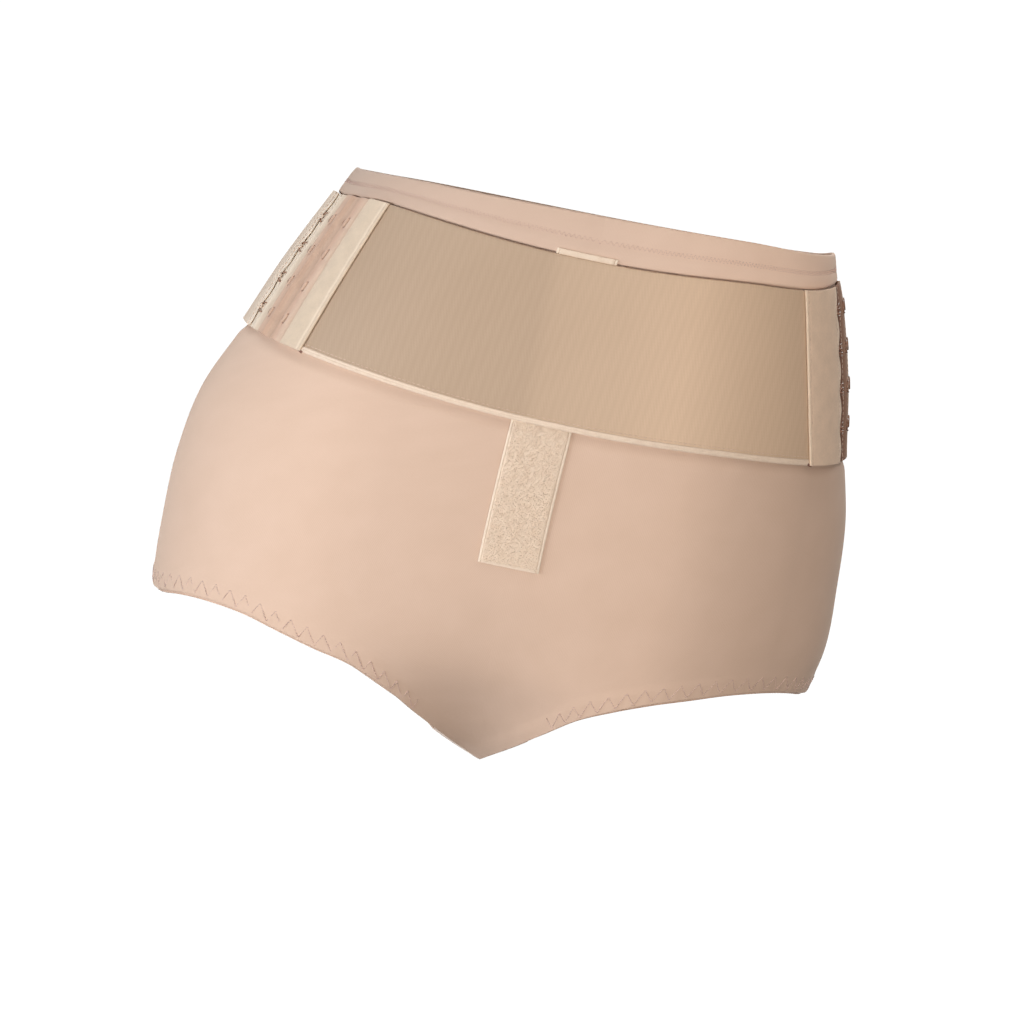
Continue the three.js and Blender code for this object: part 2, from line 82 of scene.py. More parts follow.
def readTable(table, column, x):
    keys, values = table[:, 0], table[:, column]
    last = len(keys) - 1
    before, after = np.maximum(np.arange(last + 1) - 1, 0), np.minimum(np.arange(last + 1) + 1, last)
    slopes = (values[after] - values[before]) / (keys[after] - keys[before])
    i = np.clip(np.searchsorted(keys, x) - 1, 0, last - 1)
    step = keys[i + 1] - keys[i]
    t = np.clip((x - keys[i]) / step, 0, 1)
    return (values[i] * (2 * t**3 - 3 * t**2 + 1) + slopes[i] * step * (t**3 - 2 * t**2 + t)
            + values[i + 1] * (3 * t**2 - 2 * t**3) + slopes[i + 1] * step * (t**3 - t**2))


def smooth(t):
    s = np.clip(t, 0, 1)
    return s * s * (3 - 2 * s)


def acrossAt(angle):
    return np.sign(np.sin(angle)) * np.abs(np.sin(angle)) ** (2 / form["squareness"])


def bodyPoint(angle, z):
    angle, z = np.broadcast_arrays(np.asarray(angle, float), np.asarray(z, float))
    drop = -z / form["crotchDrop"]
    across, cosine = acrossAt(angle), np.cos(angle)
    side = np.where(across < 0, readTable(sections, 2, drop), readTable(sections, 3, drop))
    x = across * form["hipHalfWidth"] * side
    ahead = cosine > 0
    depth = np.where(ahead, form["bellyDepth"] * readTable(sections, 4, drop),
                     form["seatDepth"] * readTable(sections, 5, drop))
    groove = np.where(ahead, readTable(grooves, 1, drop), readTable(grooves, 2, drop))
    groove = groove * np.exp(-((x / form["grooveWidth"]) ** 2))
    y = -np.sign(cosine) * depth * np.abs(cosine) ** (2 / form["squareness"]) * (1 - groove)
    return np.stack([x - form["lean"] * readTable(sections, 1, drop), y, z], axis=-1)


def unit(v):
    return v / np.maximum(np.linalg.norm(v, axis=-1, keepdims=True), 1e-9)


def bodyNormal(angle, z):
    turn = bodyPoint(angle + 0.01, z) - bodyPoint(angle - 0.01, z)
    return unit(np.cross(turn, bodyPoint(angle, z + 1) - bodyPoint(angle, z - 1)))


def edgeAt(angle, column):
    turn = np.degrees(np.arctan2(np.sin(angle), np.cos(angle)))
    return form["beltHeight"] * readTable(edges, column, turn)


def waistTopAt(angle):
    return edgeAt(angle, 1)


def beltTopAt(angle):
    return edgeAt(angle, 2)


def beltBottomAt(angle):
    return edgeAt(angle, 3)


def hemAt(angle):
    across = np.abs(acrossAt(angle))
    left, ahead = np.sin(angle) < 0, np.cos(angle) > 0
    rise = np.where(ahead, np.where(left, readTable(hems, 1, across), readTable(hems, 2, across)),
                    np.where(left, readTable(hems, 3, across), readTable(hems, 4, across)))
    return form["legHemRise"] * rise - form["crotchDrop"]


def clothPoint(angle, z, out):
    above = 1 - smooth((z - beltTopAt(angle)) / form["pressEase"])
    below = 1 - smooth((beltBottomAt(angle) - z) / form["pressEase"])
    press = form["beltPress"] * np.minimum(above, below)
    return bodyPoint(angle, z) + bodyNormal(angle, z) * np.asarray(out - press)[..., None]


# Angles by the distance round the body, looked up in a table of heights and distances
tableStep = 1.5
tableHeights = np.arange(-180.0, 16.0, tableStep)
tableDistances = np.arange(-300.0, 301.0, 1.0)


def makeAngleTable():
    angles = np.linspace(-math.pi, math.pi, 1201)
    middle = len(angles) // 2
    rows = []
    for z in tableHeights:
        points = bodyPoint(angles, z)
        length = np.concatenate([[0], np.cumsum(np.linalg.norm(np.diff(points, axis=0), axis=1))])
        rows.append(np.interp(tableDistances, length - length[middle], angles))
    return np.array(rows)


angleTable = makeAngleTable()


def angleAt(distance, z):
    distance, z = np.broadcast_arrays(np.asarray(distance, float), np.asarray(z, float))
    row = np.clip((z - tableHeights[0]) / tableStep, 0, len(tableHeights) - 1.001)
    column = np.clip(distance - tableDistances[0], 0, len(tableDistances) - 1.001)
    i, j = row.astype(int), column.astype(int)
    s, t = row - i, column - j
    return ((1 - s) * ((1 - t) * angleTable[i, j] + t * angleTable[i, j + 1])
            + s * ((1 - t) * angleTable[i + 1, j] + t * angleTable[i + 1, j + 1]))


def beltZ(angle, down):
    return beltTopAt(angle) * (1 - down) + beltBottomAt(angle) * down


def beltAngle(distance, down):
    angle = np.sign(distance) * math.pi / 2 * np.ones_like(down)
    for _ in range(5):
        angle = angleAt(distance, beltZ(angle, down))
    return angle


# Meshes

def easedEdge(distance, radius):
    t = np.clip(distance / radius, 0, 1)
    return np.sqrt(np.clip(1 - (1 - t) ** 2, 0, 1))


# Shares of a length, close together at both ends where the edge is round
def edgedShares(length, step, radius, extra=()):
    near = np.array([0, 0.06, 0.22, 0.55, 1.0]) * radius
    between = np.linspace(radius, length - radius, max(2, round((length - 2 * radius) / step) + 1))
    places = np.concatenate([near, between, length - near, [e for e in extra if 0 < e < length]])
    return np.unique(np.round(places, 4)) / length


def plainMesh(name, points, faces=(), lines=(), uvs=None, finish=None):
    mesh = bpy.data.meshes.new(name)
    mesh.from_pydata((np.asarray(points) / 1000).tolist(), [tuple(e) for e in lines], [list(f) for f in faces])
    if uvs is not None:
        layer = mesh.uv_layers.new(name="clothUV")
        layer.data.foreach_set("uv", (np.asarray(uvs) / 1000).astype(np.float32).ravel())
    if len(faces):
        mesh.shade_smooth()
    piece = bpy.data.objects.new(name, mesh)
    bpy.context.scene.collection.objects.link(piece)
    if finish:
        mesh.materials.append(finish)
    return piece


# A closed cloth between an outer and an inner grid of points that meet along their edges. The UV map holds the
# distance along each row and down each column, in metres.
def clothMesh(name, outer, inner, finish, ring=False):
    columns, rows = outer.shape[:2]
    ids = np.arange(columns * rows).reshape(columns, rows)
    edge = np.zeros((columns, rows), bool)
    edge[:, [0, -1]] = True
    if not ring:
        edge[[0, -1], :] = True
    innerIds = ids.copy()
    innerIds[~edge] = columns * rows + np.arange((~edge).sum())
    points = np.concatenate([outer.reshape(-1, 3), inner[~edge]])
    closed = np.concatenate([outer, outer[:1]]) if ring else outer
    along = np.zeros(closed.shape[:2])
    along[1:] = np.cumsum(np.linalg.norm(np.diff(closed, axis=0), axis=2), axis=0)
    below = np.zeros(closed.shape[:2])
    below[:, 1:] = -np.cumsum(np.linalg.norm(np.diff(closed, axis=1), axis=2), axis=1)
    uv = np.stack([along, below], axis=-1)
    spans = columns if ring else columns - 1
    i, j = np.meshgrid(np.arange(spans), np.arange(rows - 1), indexing="ij")
    i, j = i.ravel(), j.ravel()
    after = (i + 1) % columns
    corners = [(i, j, i), (i, j + 1, i), (after, j + 1, i + 1), (after, j, i + 1)]
    outerFaces = np.stack([ids[a, b] for a, b, _ in corners], axis=1)
    innerFaces = np.stack([innerIds[a, b] for a, b, _ in corners], axis=1)[:, ::-1]
    outerUv = np.stack([uv[c, b] for _, b, c in corners], axis=1)
    faces = np.concatenate([outerFaces, innerFaces])
    uvs = np.concatenate([outerUv, outerUv[:, ::-1]])
    a, b, c, d = (points[faces[:, k]] for k in range(4))
    if (np.einsum("ij,ij->i", a, np.cross(b, c)) + np.einsum("ij,ij->i", a, np.cross(c, d))).sum() < 0:
        faces, uvs = faces[:, ::-1], uvs[:, ::-1]
    return plainMesh(name, points, faces.tolist(), uvs=uvs.reshape(-1, 2), finish=finish)


# A wall of cloth about its middle. placed(out) gives the points out mm from the body, lift raises the outer face,
# and ease falls to 0 at a round edge.
def wallMesh(name, placed, middle, half, ease, lift, finish, ring=False):
    return clothMesh(name, placed(middle + ease * (half + lift)), placed(middle - ease * half), finish, ring)


def dressed(piece, nodes=()):
    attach(piece, "root")
    if nodes:
        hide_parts(*nodes)


# Materials

def linear(code):
    channels = [int(code[i:i + 2], 16) / 255 for i in (1, 3, 5)]
    return (*[c / 12.92 if c <= 0.04045 else ((c + 0.055) / 1.055) ** 2.4 for c in channels], 1.0)


def addNode(tree, kind, inputs=None, **settings):
    node = tree.nodes.new(kind)
    for key, value in settings.items():
        setattr(node, key, value)
    for key, value in (inputs or {}).items():
        if isinstance(value, bpy.types.NodeSocket):
            tree.links.new(value, node.inputs[key])
        else:
            node.inputs[key].default_value = value
    return node


def startMaterial(name, **surface):
    material = bpy.data.materials.new(name)
    material.use_nodes = True
    tree = material.node_tree
    tree.nodes.clear()
    shader = addNode(tree, "ShaderNodeBsdfPrincipled", surface)
    addNode(tree, "ShaderNodeOutputMaterial", {"Surface": shader.outputs[0]})
    return material, tree, shader


def clothPlace(tree):
    return addNode(tree, "ShaderNodeUVMap", uv_map="clothUV").outputs["UV"]


def objectPlace(tree):
    return addNode(tree, "ShaderNodeTexCoord").outputs["Object"]


def acrossOf(tree, place):
    return addNode(tree, "ShaderNodeSeparateXYZ", {0: place}).outputs["X"]


def noise(tree, place, scale, detail=2.0):
    return addNode(tree, "ShaderNodeTexNoise", {"Vector": place, "Scale": scale, "Detail": detail}).outputs["Fac"]


# Waves pitch metres apart: the wave texture runs through 20 radians for each unit of its scale
def waves(tree, place, pitch, bend, finer=(), direction="X"):
    return addNode(tree, "ShaderNodeTexWave", {
        "Vector": place, "Scale": 2 * math.pi / (20 * pitch), "Distortion": bend, **dict(finer),
    }, bands_direction=direction).outputs["Fac"]


def mathOf(tree, operation, *values):
    return addNode(tree, "ShaderNodeMath", dict(enumerate(values)), operation=operation).outputs[0]


# value * share + rest
def summed(tree, value, share, rest):
    return mathOf(tree, "MULTIPLY_ADD", value, share, rest)


def mapped(tree, value, low, high, toLow=0.0, toHigh=1.0):
    return addNode(tree, "ShaderNodeMapRange", {
        "Value": value, "From Min": low, "From Max": high, "To Min": toLow, "To Max": toHigh,
    }).outputs[0]


def scaled(tree, vector, by):
    return addNode(tree, "ShaderNodeVectorMath", {0: vector, "Scale": by}, operation="SCALE").outputs[0]


def blend(tree, share, deep, pale):
    return addNode(tree, "ShaderNodeMix", {"Factor": share, "A": linear(deep), "B": linear(pale)},
                   data_type="RGBA").outputs["Result"]


def rampOf(tree, share, stops):
    node = addNode(tree, "ShaderNodeValToRGB", {"Fac": share})
    while len(node.color_ramp.elements) < len(stops):
        node.color_ramp.elements.new(0.5)
    for element, (place, colour) in zip(node.color_ramp.elements, stops):
        element.position, element.color = place, colour
    return node.outputs["Color"]


def surfaced(tree, shader, colour, height, strength, depth):
    bump = addNode(tree, "ShaderNodeBump", {"Height": height, "Strength": strength, "Distance": depth})
    tree.links.new(colour, shader.inputs["Base Color"])
    tree.links.new(bump.outputs["Normal"], shader.inputs["Normal"])


# The places in mm, left and right of the middle, and the darkest and brightest painted shade and light a tone list
# can hold
paintedLightRange = {"reach": 180, "darkest": 0.7, "brightest": 1.4}


# Painted light and shade: the colour is scaled from the object's left to its right, paler where light falls and
# darker in shade. lightAndShadeTones lists the place in mm with the brightness there.
def paintLightAcross(tree, colour, lightAndShadeTones):
    reach, darkest, brightest = paintedLightRange["reach"], paintedLightRange["darkest"], paintedLightRange["brightest"]
    share = mapped(tree, acrossOf(tree, objectPlace(tree)), -reach / 1000, reach / 1000)
    stops = []
    for place, bright in lightAndShadeTones:
        level = (bright - darkest) / (brightest - darkest)
        stops.append(((place + reach) / (2 * reach), (level, level, level, 1)))
    return scaled(tree, colour, mapped(tree, rampOf(tree, share, stops), 0.0, 1.0, darkest, brightest))


# Knitted nylon microfibre: a soft, nearly matt face with a faint bloom, and wales too fine to see one by one.
# The real wales are 0.35 mm apart, and 0.9 mm here so that they show.
def knittedMicrofibre(name, pale, deep, lightAndShadeTones, wale=0.0009, grain=0.35):
    material, tree, shader = startMaterial(name, **{
        "Roughness": 0.72, "Sheen Weight": 0.25, "Sheen Roughness": 0.45,
        "Sheen Tint": linear("#fff1e6"), "Specular IOR Level": 0.35,
    })
    uv = clothPlace(tree)
    wales = waves(tree, uv, wale, 1.4, {"Detail": 2.0, "Detail Scale": 0.35})
    fuzz = summed(tree, noise(tree, uv, 1500.0), 0.35, mathOf(tree, "MULTIPLY", wales, grain))
    share = summed(tree, noise(tree, uv, 55.0, 4.0), 0.5, fuzz)
    surfaced(tree, shader, paintLightAcross(tree, blend(tree, share, deep, pale), lightAndShadeTones), fuzz, 0.35, 0.00012)
    return material


# Two layers of nylon and elastane power net: each is a grid of fine ribs, and where the two cross they make the
# faint curved bands of a moire. The real ribs are 0.6 mm apart, and 1.3 mm here so that they show.
def powerNetFinish(name, pale, deep, lightAndShadeTones):
    material, tree, shader = startMaterial(name, **{
        "Roughness": 0.62, "Sheen Weight": 0.15, "Sheen Roughness": 0.4, "Specular IOR Level": 0.4,
    })
    uv = clothPlace(tree)
    layers = []
    for turn, pitch, bend in ((-0.52, 0.0013, 0.35), (-0.6, 0.0014, 0.5)):
        turned = addNode(tree, "ShaderNodeMapping", {"Vector": uv, "Rotation": (0, 0, turn)}).outputs[0]
        layers.append(waves(tree, turned, pitch, bend, {"Detail Scale": 0.02}))
    courses = waves(tree, uv, 0.0016, 0.6, direction="Y")
    mesh = summed(tree, courses, 0.3, mathOf(tree, "MULTIPLY", *layers))
    fan = addNode(tree, "ShaderNodeMapping", {"Vector": uv, "Rotation": (0, 0, -0.6), "Scale": (1, 0.3, 1)})
    moire = waves(tree, fan.outputs[0], 0.0034, 7.0, {"Detail": 0.0, "Detail Scale": 0.02})
    whole = summed(tree, noise(tree, uv, 26.0, 3.0), 1.0, summed(tree, moire, 0.7, mesh))
    colour = blend(tree, mapped(tree, whole, 0.4, 2.1), deep, pale)
    surfaced(tree, shader, paintLightAcross(tree, colour, lightAndShadeTones), mesh, 0.2, 0.00004)
    return material


# Brushed nylon tricot tape: a short, soft nap that scatters light, in lengthwise stripes where the layers of a
# hook-and-eye tape are folded; a few stripes are painted highlight and shade. stripes lists places in mm and colours.
def brushedTape(name, stripes, width, nap=0.45, sheen=0.35):
    material, tree, shader = startMaterial(name, **{
        "Roughness": 0.8, "Sheen Weight": sheen, "Sheen Roughness": 0.5,
        "Sheen Tint": linear("#fff4ea"), "Specular IOR Level": 0.3,
    })
    uv = clothPlace(tree)
    moved = summed(tree, noise(tree, uv, 160.0), 0.0012, acrossOf(tree, uv))
    share = mathOf(tree, "DIVIDE", moved, width / 1000)
    striped = rampOf(tree, share, [(place / width, linear(code)) for place, code in stripes])
    tone = summed(tree, noise(tree, uv, 900.0, 3.0), 0.6, noise(tree, uv, 130.0, 3.0))
    surfaced(tree, shader, scaled(tree, striped, mapped(tree, tone, 0.45, 1.15, 0.9, 1.07)), tone, nap, 0.0002)
    return material


# Narrow woven nylon elastic or binding: close ribs across its length, with a slight shine on each
def wovenBinding(name, pale, deep, rib=0.0008):
    material, tree, shader = startMaterial(name, **{
        "Roughness": 0.55, "Sheen Weight": 0.2, "Specular IOR Level": 0.45,
    })
    uv = clothPlace(tree)
    share = summed(tree, waves(tree, uv, rib, 0.4), 0.5, noise(tree, uv, 300.0, 3.0))
    surfaced(tree, shader, blend(tree, share, deep, pale), share, 0.4, 0.00015)
    return material


# The loop side of hook-and-loop tape: matted nylon loops that catch light in patches, cream where they stand up
def matsOfPile(name, pale, deep):
    material, tree, shader = startMaterial(name, **{
        "Roughness": 0.85, "Sheen Weight": 0.5, "Sheen Roughness": 0.4, "Specular IOR Level": 0.3,
    })
    place = objectPlace(tree)
    tone = summed(tree, noise(tree, place, 1300.0), 0.5, noise(tree, place, 330.0, 4.0))
    surfaced(tree, shader, blend(tree, mapped(tree, tone, 0.5, 1.0), deep, pale), tone, 0.35, 0.0003)
    return material


# Spun polyester thread: dull, with a little colour change from stitch to stitch
def spunThread(name, pale, deep):
    material, tree, shader = startMaterial(name, **{"Roughness": 0.7, "Sheen Weight": 0.2})
    place = objectPlace(tree)
    colour = blend(tree, noise(tree, place, 260.0), deep, pale)
    surfaced(tree, shader, colour, noise(tree, place, 4000.0), 0.3, 0.00005)
    return material


# Steel wire with a baked nylon coat in the cloth's colour: smooth, a soft gloss, worn a little in random patches
def coatedWire(name, pale, deep):
    material, tree, shader = startMaterial(name, **{
        "Roughness": 0.38, "Coat Weight": 0.3, "Coat Roughness": 0.25, "Specular IOR Level": 0.5,
    })
    wear = noise(tree, objectPlace(tree), 700.0, 3.0)
    surfaced(tree, shader, blend(tree, mapped(tree, wear, 0.35, 0.7), deep, pale), wear, 0.15, 0.00005)
    return material


# The brightness lists below are painted light and shade across each cloth, paler where the light falls; on the net
# they also step paler over the pile strip beneath it.
briefKnit = knittedMicrofibre("knitted nylon microfibre", "#dcbea9", "#ccad95",
                              [(-170, 1.01), (-115, 1.0), (-80, 0.94), (-20, 0.94), (20, 1.0), (65, 1.04), (95, 0.93),
                               (130, 0.88), (170, 1.18)])
bandKnit = knittedMicrofibre("knitted nylon waistband", "#dabeaa", "#ccae99",
                             [(-130, 0.81), (-60, 0.88), (0, 0.96), (90, 1.26), (130, 1.38)], wale=0.0007, grain=0.25)
net = powerNetFinish("nylon power net", "#c3a88e", "#bda288",
                     [(-150, 0.84), (-60, 0.85), (-24, 0.88), (-15, 0.97), (20, 1.08), (55, 1.27), (92, 1.16),
                      (150, 1.02)])
bindingWeave = wovenBinding("woven nylon binding", "#e6d0ba", "#d2b8a1")
elasticWeave = wovenBinding("woven hem elastic", "#d6b69f", "#bf977f")
# The pale stripe at 14.2 mm is a painted highlight along the casing's right edge.
casingTricot = brushedTape("brushed tricot casing", [
    (0, "#cfb9a1"), (1.2, "#d5c0a8"), (13, "#d5c0a8"), (14.2, "#e5d2bc"), (15, "#d5c0a8"),
], 15, nap=0.2)
pileMat = matsOfPile("nylon hook-and-loop pile", "#e6d2bd", "#dec7b0")
selvedgeWeave = wovenBinding("woven pile selvedge", "#e8d6c1", "#dac4ad", rib=0.0007)
seamThread = spunThread("spun polyester thread", "#d9c0ab", "#c3a58f")
roseThread = spunThread("rose polyester thread", "#cfb2a7", "#bd9f95")
creamThread = spunThread("cream polyester thread", "#f3e4d1", "#e5d0ba")
mauveThread = spunThread("mauve polyester thread", "#cdb0a3", "#bc9c90")
cornerMarkThread = spunThread("dark thread at the corners", "#8f6250", "#6b4234")
# The left hooks' wire is a lit copy, lightened as painted light, and the right side's wire is a shaded copy, darkened
# as painted shade; both keep the tint of the cloth beside them.
litLeftHookWire = coatedWire("nylon-coated wire with painted light", "#e4cfba", "#d3b9a2")
tanWire = coatedWire("nylon-coated wire in tan", "#b08a75", "#946e5a")
shadedRightWire = coatedWire("nylon-coated wire with painted shade", "#a77f6b", "#8a6450")
print("materials made")


# Geometry Nodes

def startTree(name, sizes):
    tree = bpy.data.node_groups.new(name, "GeometryNodeTree")
    tree.interface.new_socket("Geometry", in_out="INPUT", socket_type="NodeSocketGeometry")
    tree.interface.new_socket("Geometry", in_out="OUTPUT", socket_type="NodeSocketGeometry")
    for label, (kind, value) in sizes.items():
        tree.interface.new_socket(label, in_out="INPUT", socket_type=kind).default_value = value
    tree.interface.new_socket("Material", in_out="INPUT", socket_type="NodeSocketMaterial")
    return tree, addNode(tree, "NodeGroupInput").outputs


def endTree(tree, made, given):
    real = addNode(tree, "GeometryNodeRealizeInstances", {"Geometry": made}).outputs[0]
    soft = addNode(tree, "GeometryNodeSetShadeSmooth", {"Geometry": real}).outputs[0]
    done = addNode(tree, "GeometryNodeSetMaterial", {"Geometry": soft, "Material": given["Material"]}).outputs[0]
    addNode(tree, "NodeGroupOutput", {"Geometry": done})
    return tree


# Wire or thread swept along the lines of a mesh
def sweptWireTree():
    tree, given = startTree("sweptWire", {
        "Radius": ("NodeSocketFloat", 0.0004), "Sides": ("NodeSocketInt", 8),
    })
    path = addNode(tree, "GeometryNodeMeshToCurve", {"Mesh": given["Geometry"]}).outputs[0]
    ring = addNode(tree, "GeometryNodeCurvePrimitiveCircle", {
        "Resolution": given["Sides"], "Radius": given["Radius"],
    }).outputs[0]
    swept = addNode(tree, "GeometryNodeCurveToMesh", {"Curve": path, "Profile Curve": ring, "Fill Caps": True})
    return endTree(tree, swept.outputs[0], given)


# Single stitches laid along the lines of a mesh
def stitchTree():
    tree, given = startTree("stitchRun", {
        "Pitch": ("NodeSocketFloat", 0.0025), "Length": ("NodeSocketFloat", 0.002),
        "Radius": ("NodeSocketFloat", 0.00018), "Seed": ("NodeSocketInt", 1),
    })
    path = addNode(tree, "GeometryNodeMeshToCurve", {"Mesh": given["Geometry"]}).outputs[0]
    points = addNode(tree, "GeometryNodeCurveToPoints", {"Curve": path, "Length": given["Pitch"]}, mode="LENGTH")
    bead = addNode(tree, "GeometryNodeMeshUVSphere", {"Segments": 6, "Rings": 5, "Radius": 1.0}).outputs[0]
    half = addNode(tree, "ShaderNodeMath", {0: given["Length"], 1: 0.5}, operation="MULTIPLY").outputs[0]
    spread = addNode(tree, "FunctionNodeRandomValue", {2: 0.85, 3: 1.1, "Seed": given["Seed"]},
                     data_type="FLOAT").outputs[1]
    size = addNode(tree, "ShaderNodeCombineXYZ", {"X": given["Radius"], "Y": given["Radius"], "Z": half}).outputs[0]
    varied = addNode(tree, "ShaderNodeVectorMath", {0: size, "Scale": spread}, operation="SCALE").outputs[0]
    laid = addNode(tree, "GeometryNodeInstanceOnPoints", {
        "Points": points.outputs["Points"], "Instance": bead, "Rotation": points.outputs["Rotation"],
        "Scale": varied,
    })
    return endTree(tree, laid.outputs[0], given)


# Loops of pile that stand on a face
def pileTree():
    tree, given = startTree("pileLoops", {
        "Density": ("NodeSocketFloat", 2.0e6), "Loop": ("NodeSocketFloat", 0.00045),
        "Thread": ("NodeSocketFloat", 0.0001), "Seed": ("NodeSocketInt", 5),
    })
    points = addNode(tree, "GeometryNodeDistributePointsOnFaces", {
        "Mesh": given["Geometry"], "Density": given["Density"], "Seed": given["Seed"],
    })
    arc = addNode(tree, "GeometryNodeCurveArc", {
        "Resolution": 6, "Radius": given["Loop"], "Start Angle": 0.0, "Sweep Angle": math.pi,
    }).outputs[0]
    ring = addNode(tree, "GeometryNodeCurvePrimitiveCircle", {
        "Resolution": 3, "Radius": given["Thread"],
    }).outputs[0]
    loop = addNode(tree, "GeometryNodeCurveToMesh", {"Curve": arc, "Profile Curve": ring}).outputs[0]
    stood = addNode(tree, "GeometryNodeTransform", {
        "Geometry": loop, "Rotation": (math.pi / 2, 0, 0),
    }).outputs[0]
    turn = addNode(tree, "FunctionNodeRandomValue", {
        0: (-0.5, -0.5, 0), 1: (0.5, 0.5, 2 * math.pi), "Seed": given["Seed"],
    }, data_type="FLOAT_VECTOR").outputs[0]
    spun = addNode(tree, "FunctionNodeRotateRotation", {
        "Rotation": points.outputs["Rotation"], "Rotate By": turn,
    }, rotation_space="LOCAL").outputs[0]
    tall = addNode(tree, "FunctionNodeRandomValue", {2: 0.65, 3: 1.25, "Seed": given["Seed"]},
                   data_type="FLOAT").outputs[1]
    laid = addNode(tree, "GeometryNodeInstanceOnPoints", {
        "Points": points.outputs["Points"], "Instance": stood, "Rotation": spun, "Scale": tall,
    })
    return endTree(tree, laid.outputs[0], given)


sweptWire, stitchRun, pileLoops = sweptWireTree(), stitchTree(), pileTree()


# Runs a tree on a guide mesh and keeps the result as a plain mesh
def grown(name, guide, tree, sizes, finish):
    modifier = guide.modifiers.new("grow", "NODES")
    modifier.node_group = tree
    for item in tree.interface.items_tree:
        if item.in_out == "INPUT" and item.name in sizes:
            modifier[item.identifier] = sizes[item.name]
        if item.in_out == "INPUT" and item.name == "Material":
            modifier[item.identifier] = finish
    evaluated = guide.evaluated_get(bpy.context.evaluated_depsgraph_get())
    mesh = bpy.data.meshes.new_from_object(evaluated)
    mesh.name = name
    guide.modifiers.remove(modifier)
    bpy.data.objects.remove(guide)
    piece = bpy.data.objects.new(name, mesh)
    bpy.context.scene.collection.objects.link(piece)
    return piece


def lineGuide(name, runs):
    points, lines = [], []
    for run in runs:
        first = len(points)
        points.extend(run)
        lines.extend((first + i, first + i + 1) for i in range(len(run) - 1))
    return plainMesh(name, points, lines=lines)


def stitched(name, runs, sizes, finish):
    dressed(grown(name, lineGuide(name + "Guide", runs), stitchRun, sizes, finish))


# The camera: the photograph's view from the front, a little above and turned a little, half a millimetre a pixel
view = {"roll": 12, "yaw": 3, "elevation": 8, "millimetresPerPixel": 0.5, "originAt": (597, 211), "picture": 1020,
        "distance": 3, "clip": (0.1, 60)}


def makeCamera():
    roll, yaw, rise = (math.radians(view[key]) for key in ("roll", "yaw", "elevation"))
    across = Vector((math.cos(yaw), -math.sin(yaw), 0))
    ahead = Vector((math.sin(yaw) * math.cos(rise), math.cos(yaw) * math.cos(rise), -math.sin(rise)))
    up = across.cross(ahead)
    right = across * math.cos(roll) + up * math.sin(roll)
    top = up * math.cos(roll) - across * math.sin(roll)
    scale = view["millimetresPerPixel"] / 1000
    offX = (view["picture"] / 2 - view["originAt"][0]) * scale
    offY = (view["originAt"][1] - view["picture"] / 2) * scale
    data = bpy.data.cameras.new("camera")
    data.type, data.ortho_scale = "ORTHO", view["picture"] * scale
    data.clip_start, data.clip_end = view["clip"]
    camera = bpy.data.objects.new("camera", data)
    turn = Matrix((right, top, -ahead)).transposed().to_4x4()
    camera.matrix_world = Matrix.Translation(right * offX + top * offY - ahead * view["distance"]) @ turn
    bpy.context.scene.collection.objects.link(camera)
    bpy.context.scene.camera = camera


makeCamera()

# The studio: two soft lights in front, a weak one below, two above, three behind, and a lit white floor well below.
# The floor sheds no light on the object, so the shade under it stays as soft as the photograph's.
studio = {
    "floorDrop": 2.6, "floorSize": 60, "world": ("#ffffff", 0.083), "aim": (0, 0, -0.13), "lampDistance": 3,
}
# turn from the front and rise in degrees, width, height, power, colour
lamps = {
    "key": (-65, -5, 1.8, 0.45, 72, "#f2f8ff"),
    "fill": (12, 6, 1.8, 0.45, 41, "#fffaf5"),
    "low": (-10, -36, 1.8, 1.0, 21, "#fffaf8"),
    "top": (50, 50, 1.8, 1.8, 16, "#fff6ec"),
    "above": (-20, 64, 1.8, 1.8, 12, "#ffffff"),
    "behind": (180, -28, 1.8, 1.0, 34, "#ffffff"),
    "backLeft": (-145, 35, 1.8, 1.4, 36, "#ffffff"),
    "backRight": (158, 30, 1.8, 1.4, 30, "#ffffff"),
}


def makeStudio():
    half, drop = studio["floorSize"] * 500, studio["floorDrop"] * 1000
    corners = [(-half, -half, -drop), (half, -half, -drop), (half, half, -drop), (-half, half, -drop)]
    paint, _, _ = startMaterial("matt studio paint", **{
        "Base Color": linear("#f6f4f1"), "Roughness": 0.9, "Specular IOR Level": 0.1,
        "Emission Color": linear("#ffffff"), "Emission Strength": 1.0,
    })
    floor = plainMesh("floor", corners, faces=[(0, 1, 2, 3)], finish=paint)
    floor.visible_diffuse = floor.visible_glossy = False
    for name, (turn, rise, width, height, power, colour) in lamps.items():
        data = bpy.data.lights.new(name, "AREA")
        data.shape, data.size, data.size_y = "RECTANGLE", width, height
        data.energy, data.color = power, linear(colour)[:3]
        lamp = bpy.data.objects.new(name, data)
        turn, rise = math.radians(turn), math.radians(rise)
        away = Vector((math.sin(turn) * math.cos(rise), -math.cos(turn) * math.cos(rise), math.sin(rise)))
        lamp.location = Vector(studio["aim"]) + away * studio["lampDistance"]
        lamp.rotation_euler = (-away).to_track_quat("-Z", "Y").to_euler()
        bpy.context.scene.collection.objects.link(lamp)
    world = bpy.data.worlds.new("world")
    world.use_nodes = True
    sky = world.node_tree.nodes["Background"].inputs
    sky["Color"].default_value, sky["Strength"].default_value = linear(studio["world"][0]), studio["world"][1]
    bpy.context.scene.world = world
    bpy.context.scene.view_settings.view_transform = "Standard"


makeStudio()
print("camera and studio made")


# The brief: a single knitted wall with a folded leg hem, and the gusset between the legs
briefSizes = {
    "columns": 420, "underBelt": 8, "ease": 10, "easeShare": 1.2, "free": 58, "hemFold": 9, "hemFoldRise": 0.35,
    "hemFoldEnd": 0.8, "pucker": 0.22, "puckerPitch": 7.5, "puckerReach": 10, "puckerStart": 2, "hipRadius": 150,
    "puckerSway": 1.7, "puckerSways": 9, "creaseBow": 160,
    # creases across the front: places by distance round and height, length, width, depth, tilt in degrees
    "creases": [(-92, -196, 34, 4.5, 0.55, -48), (16, -212, 22, 4.0, 0.4, -28), (-60, -232, 30, 5, 0.35, -40)],
}


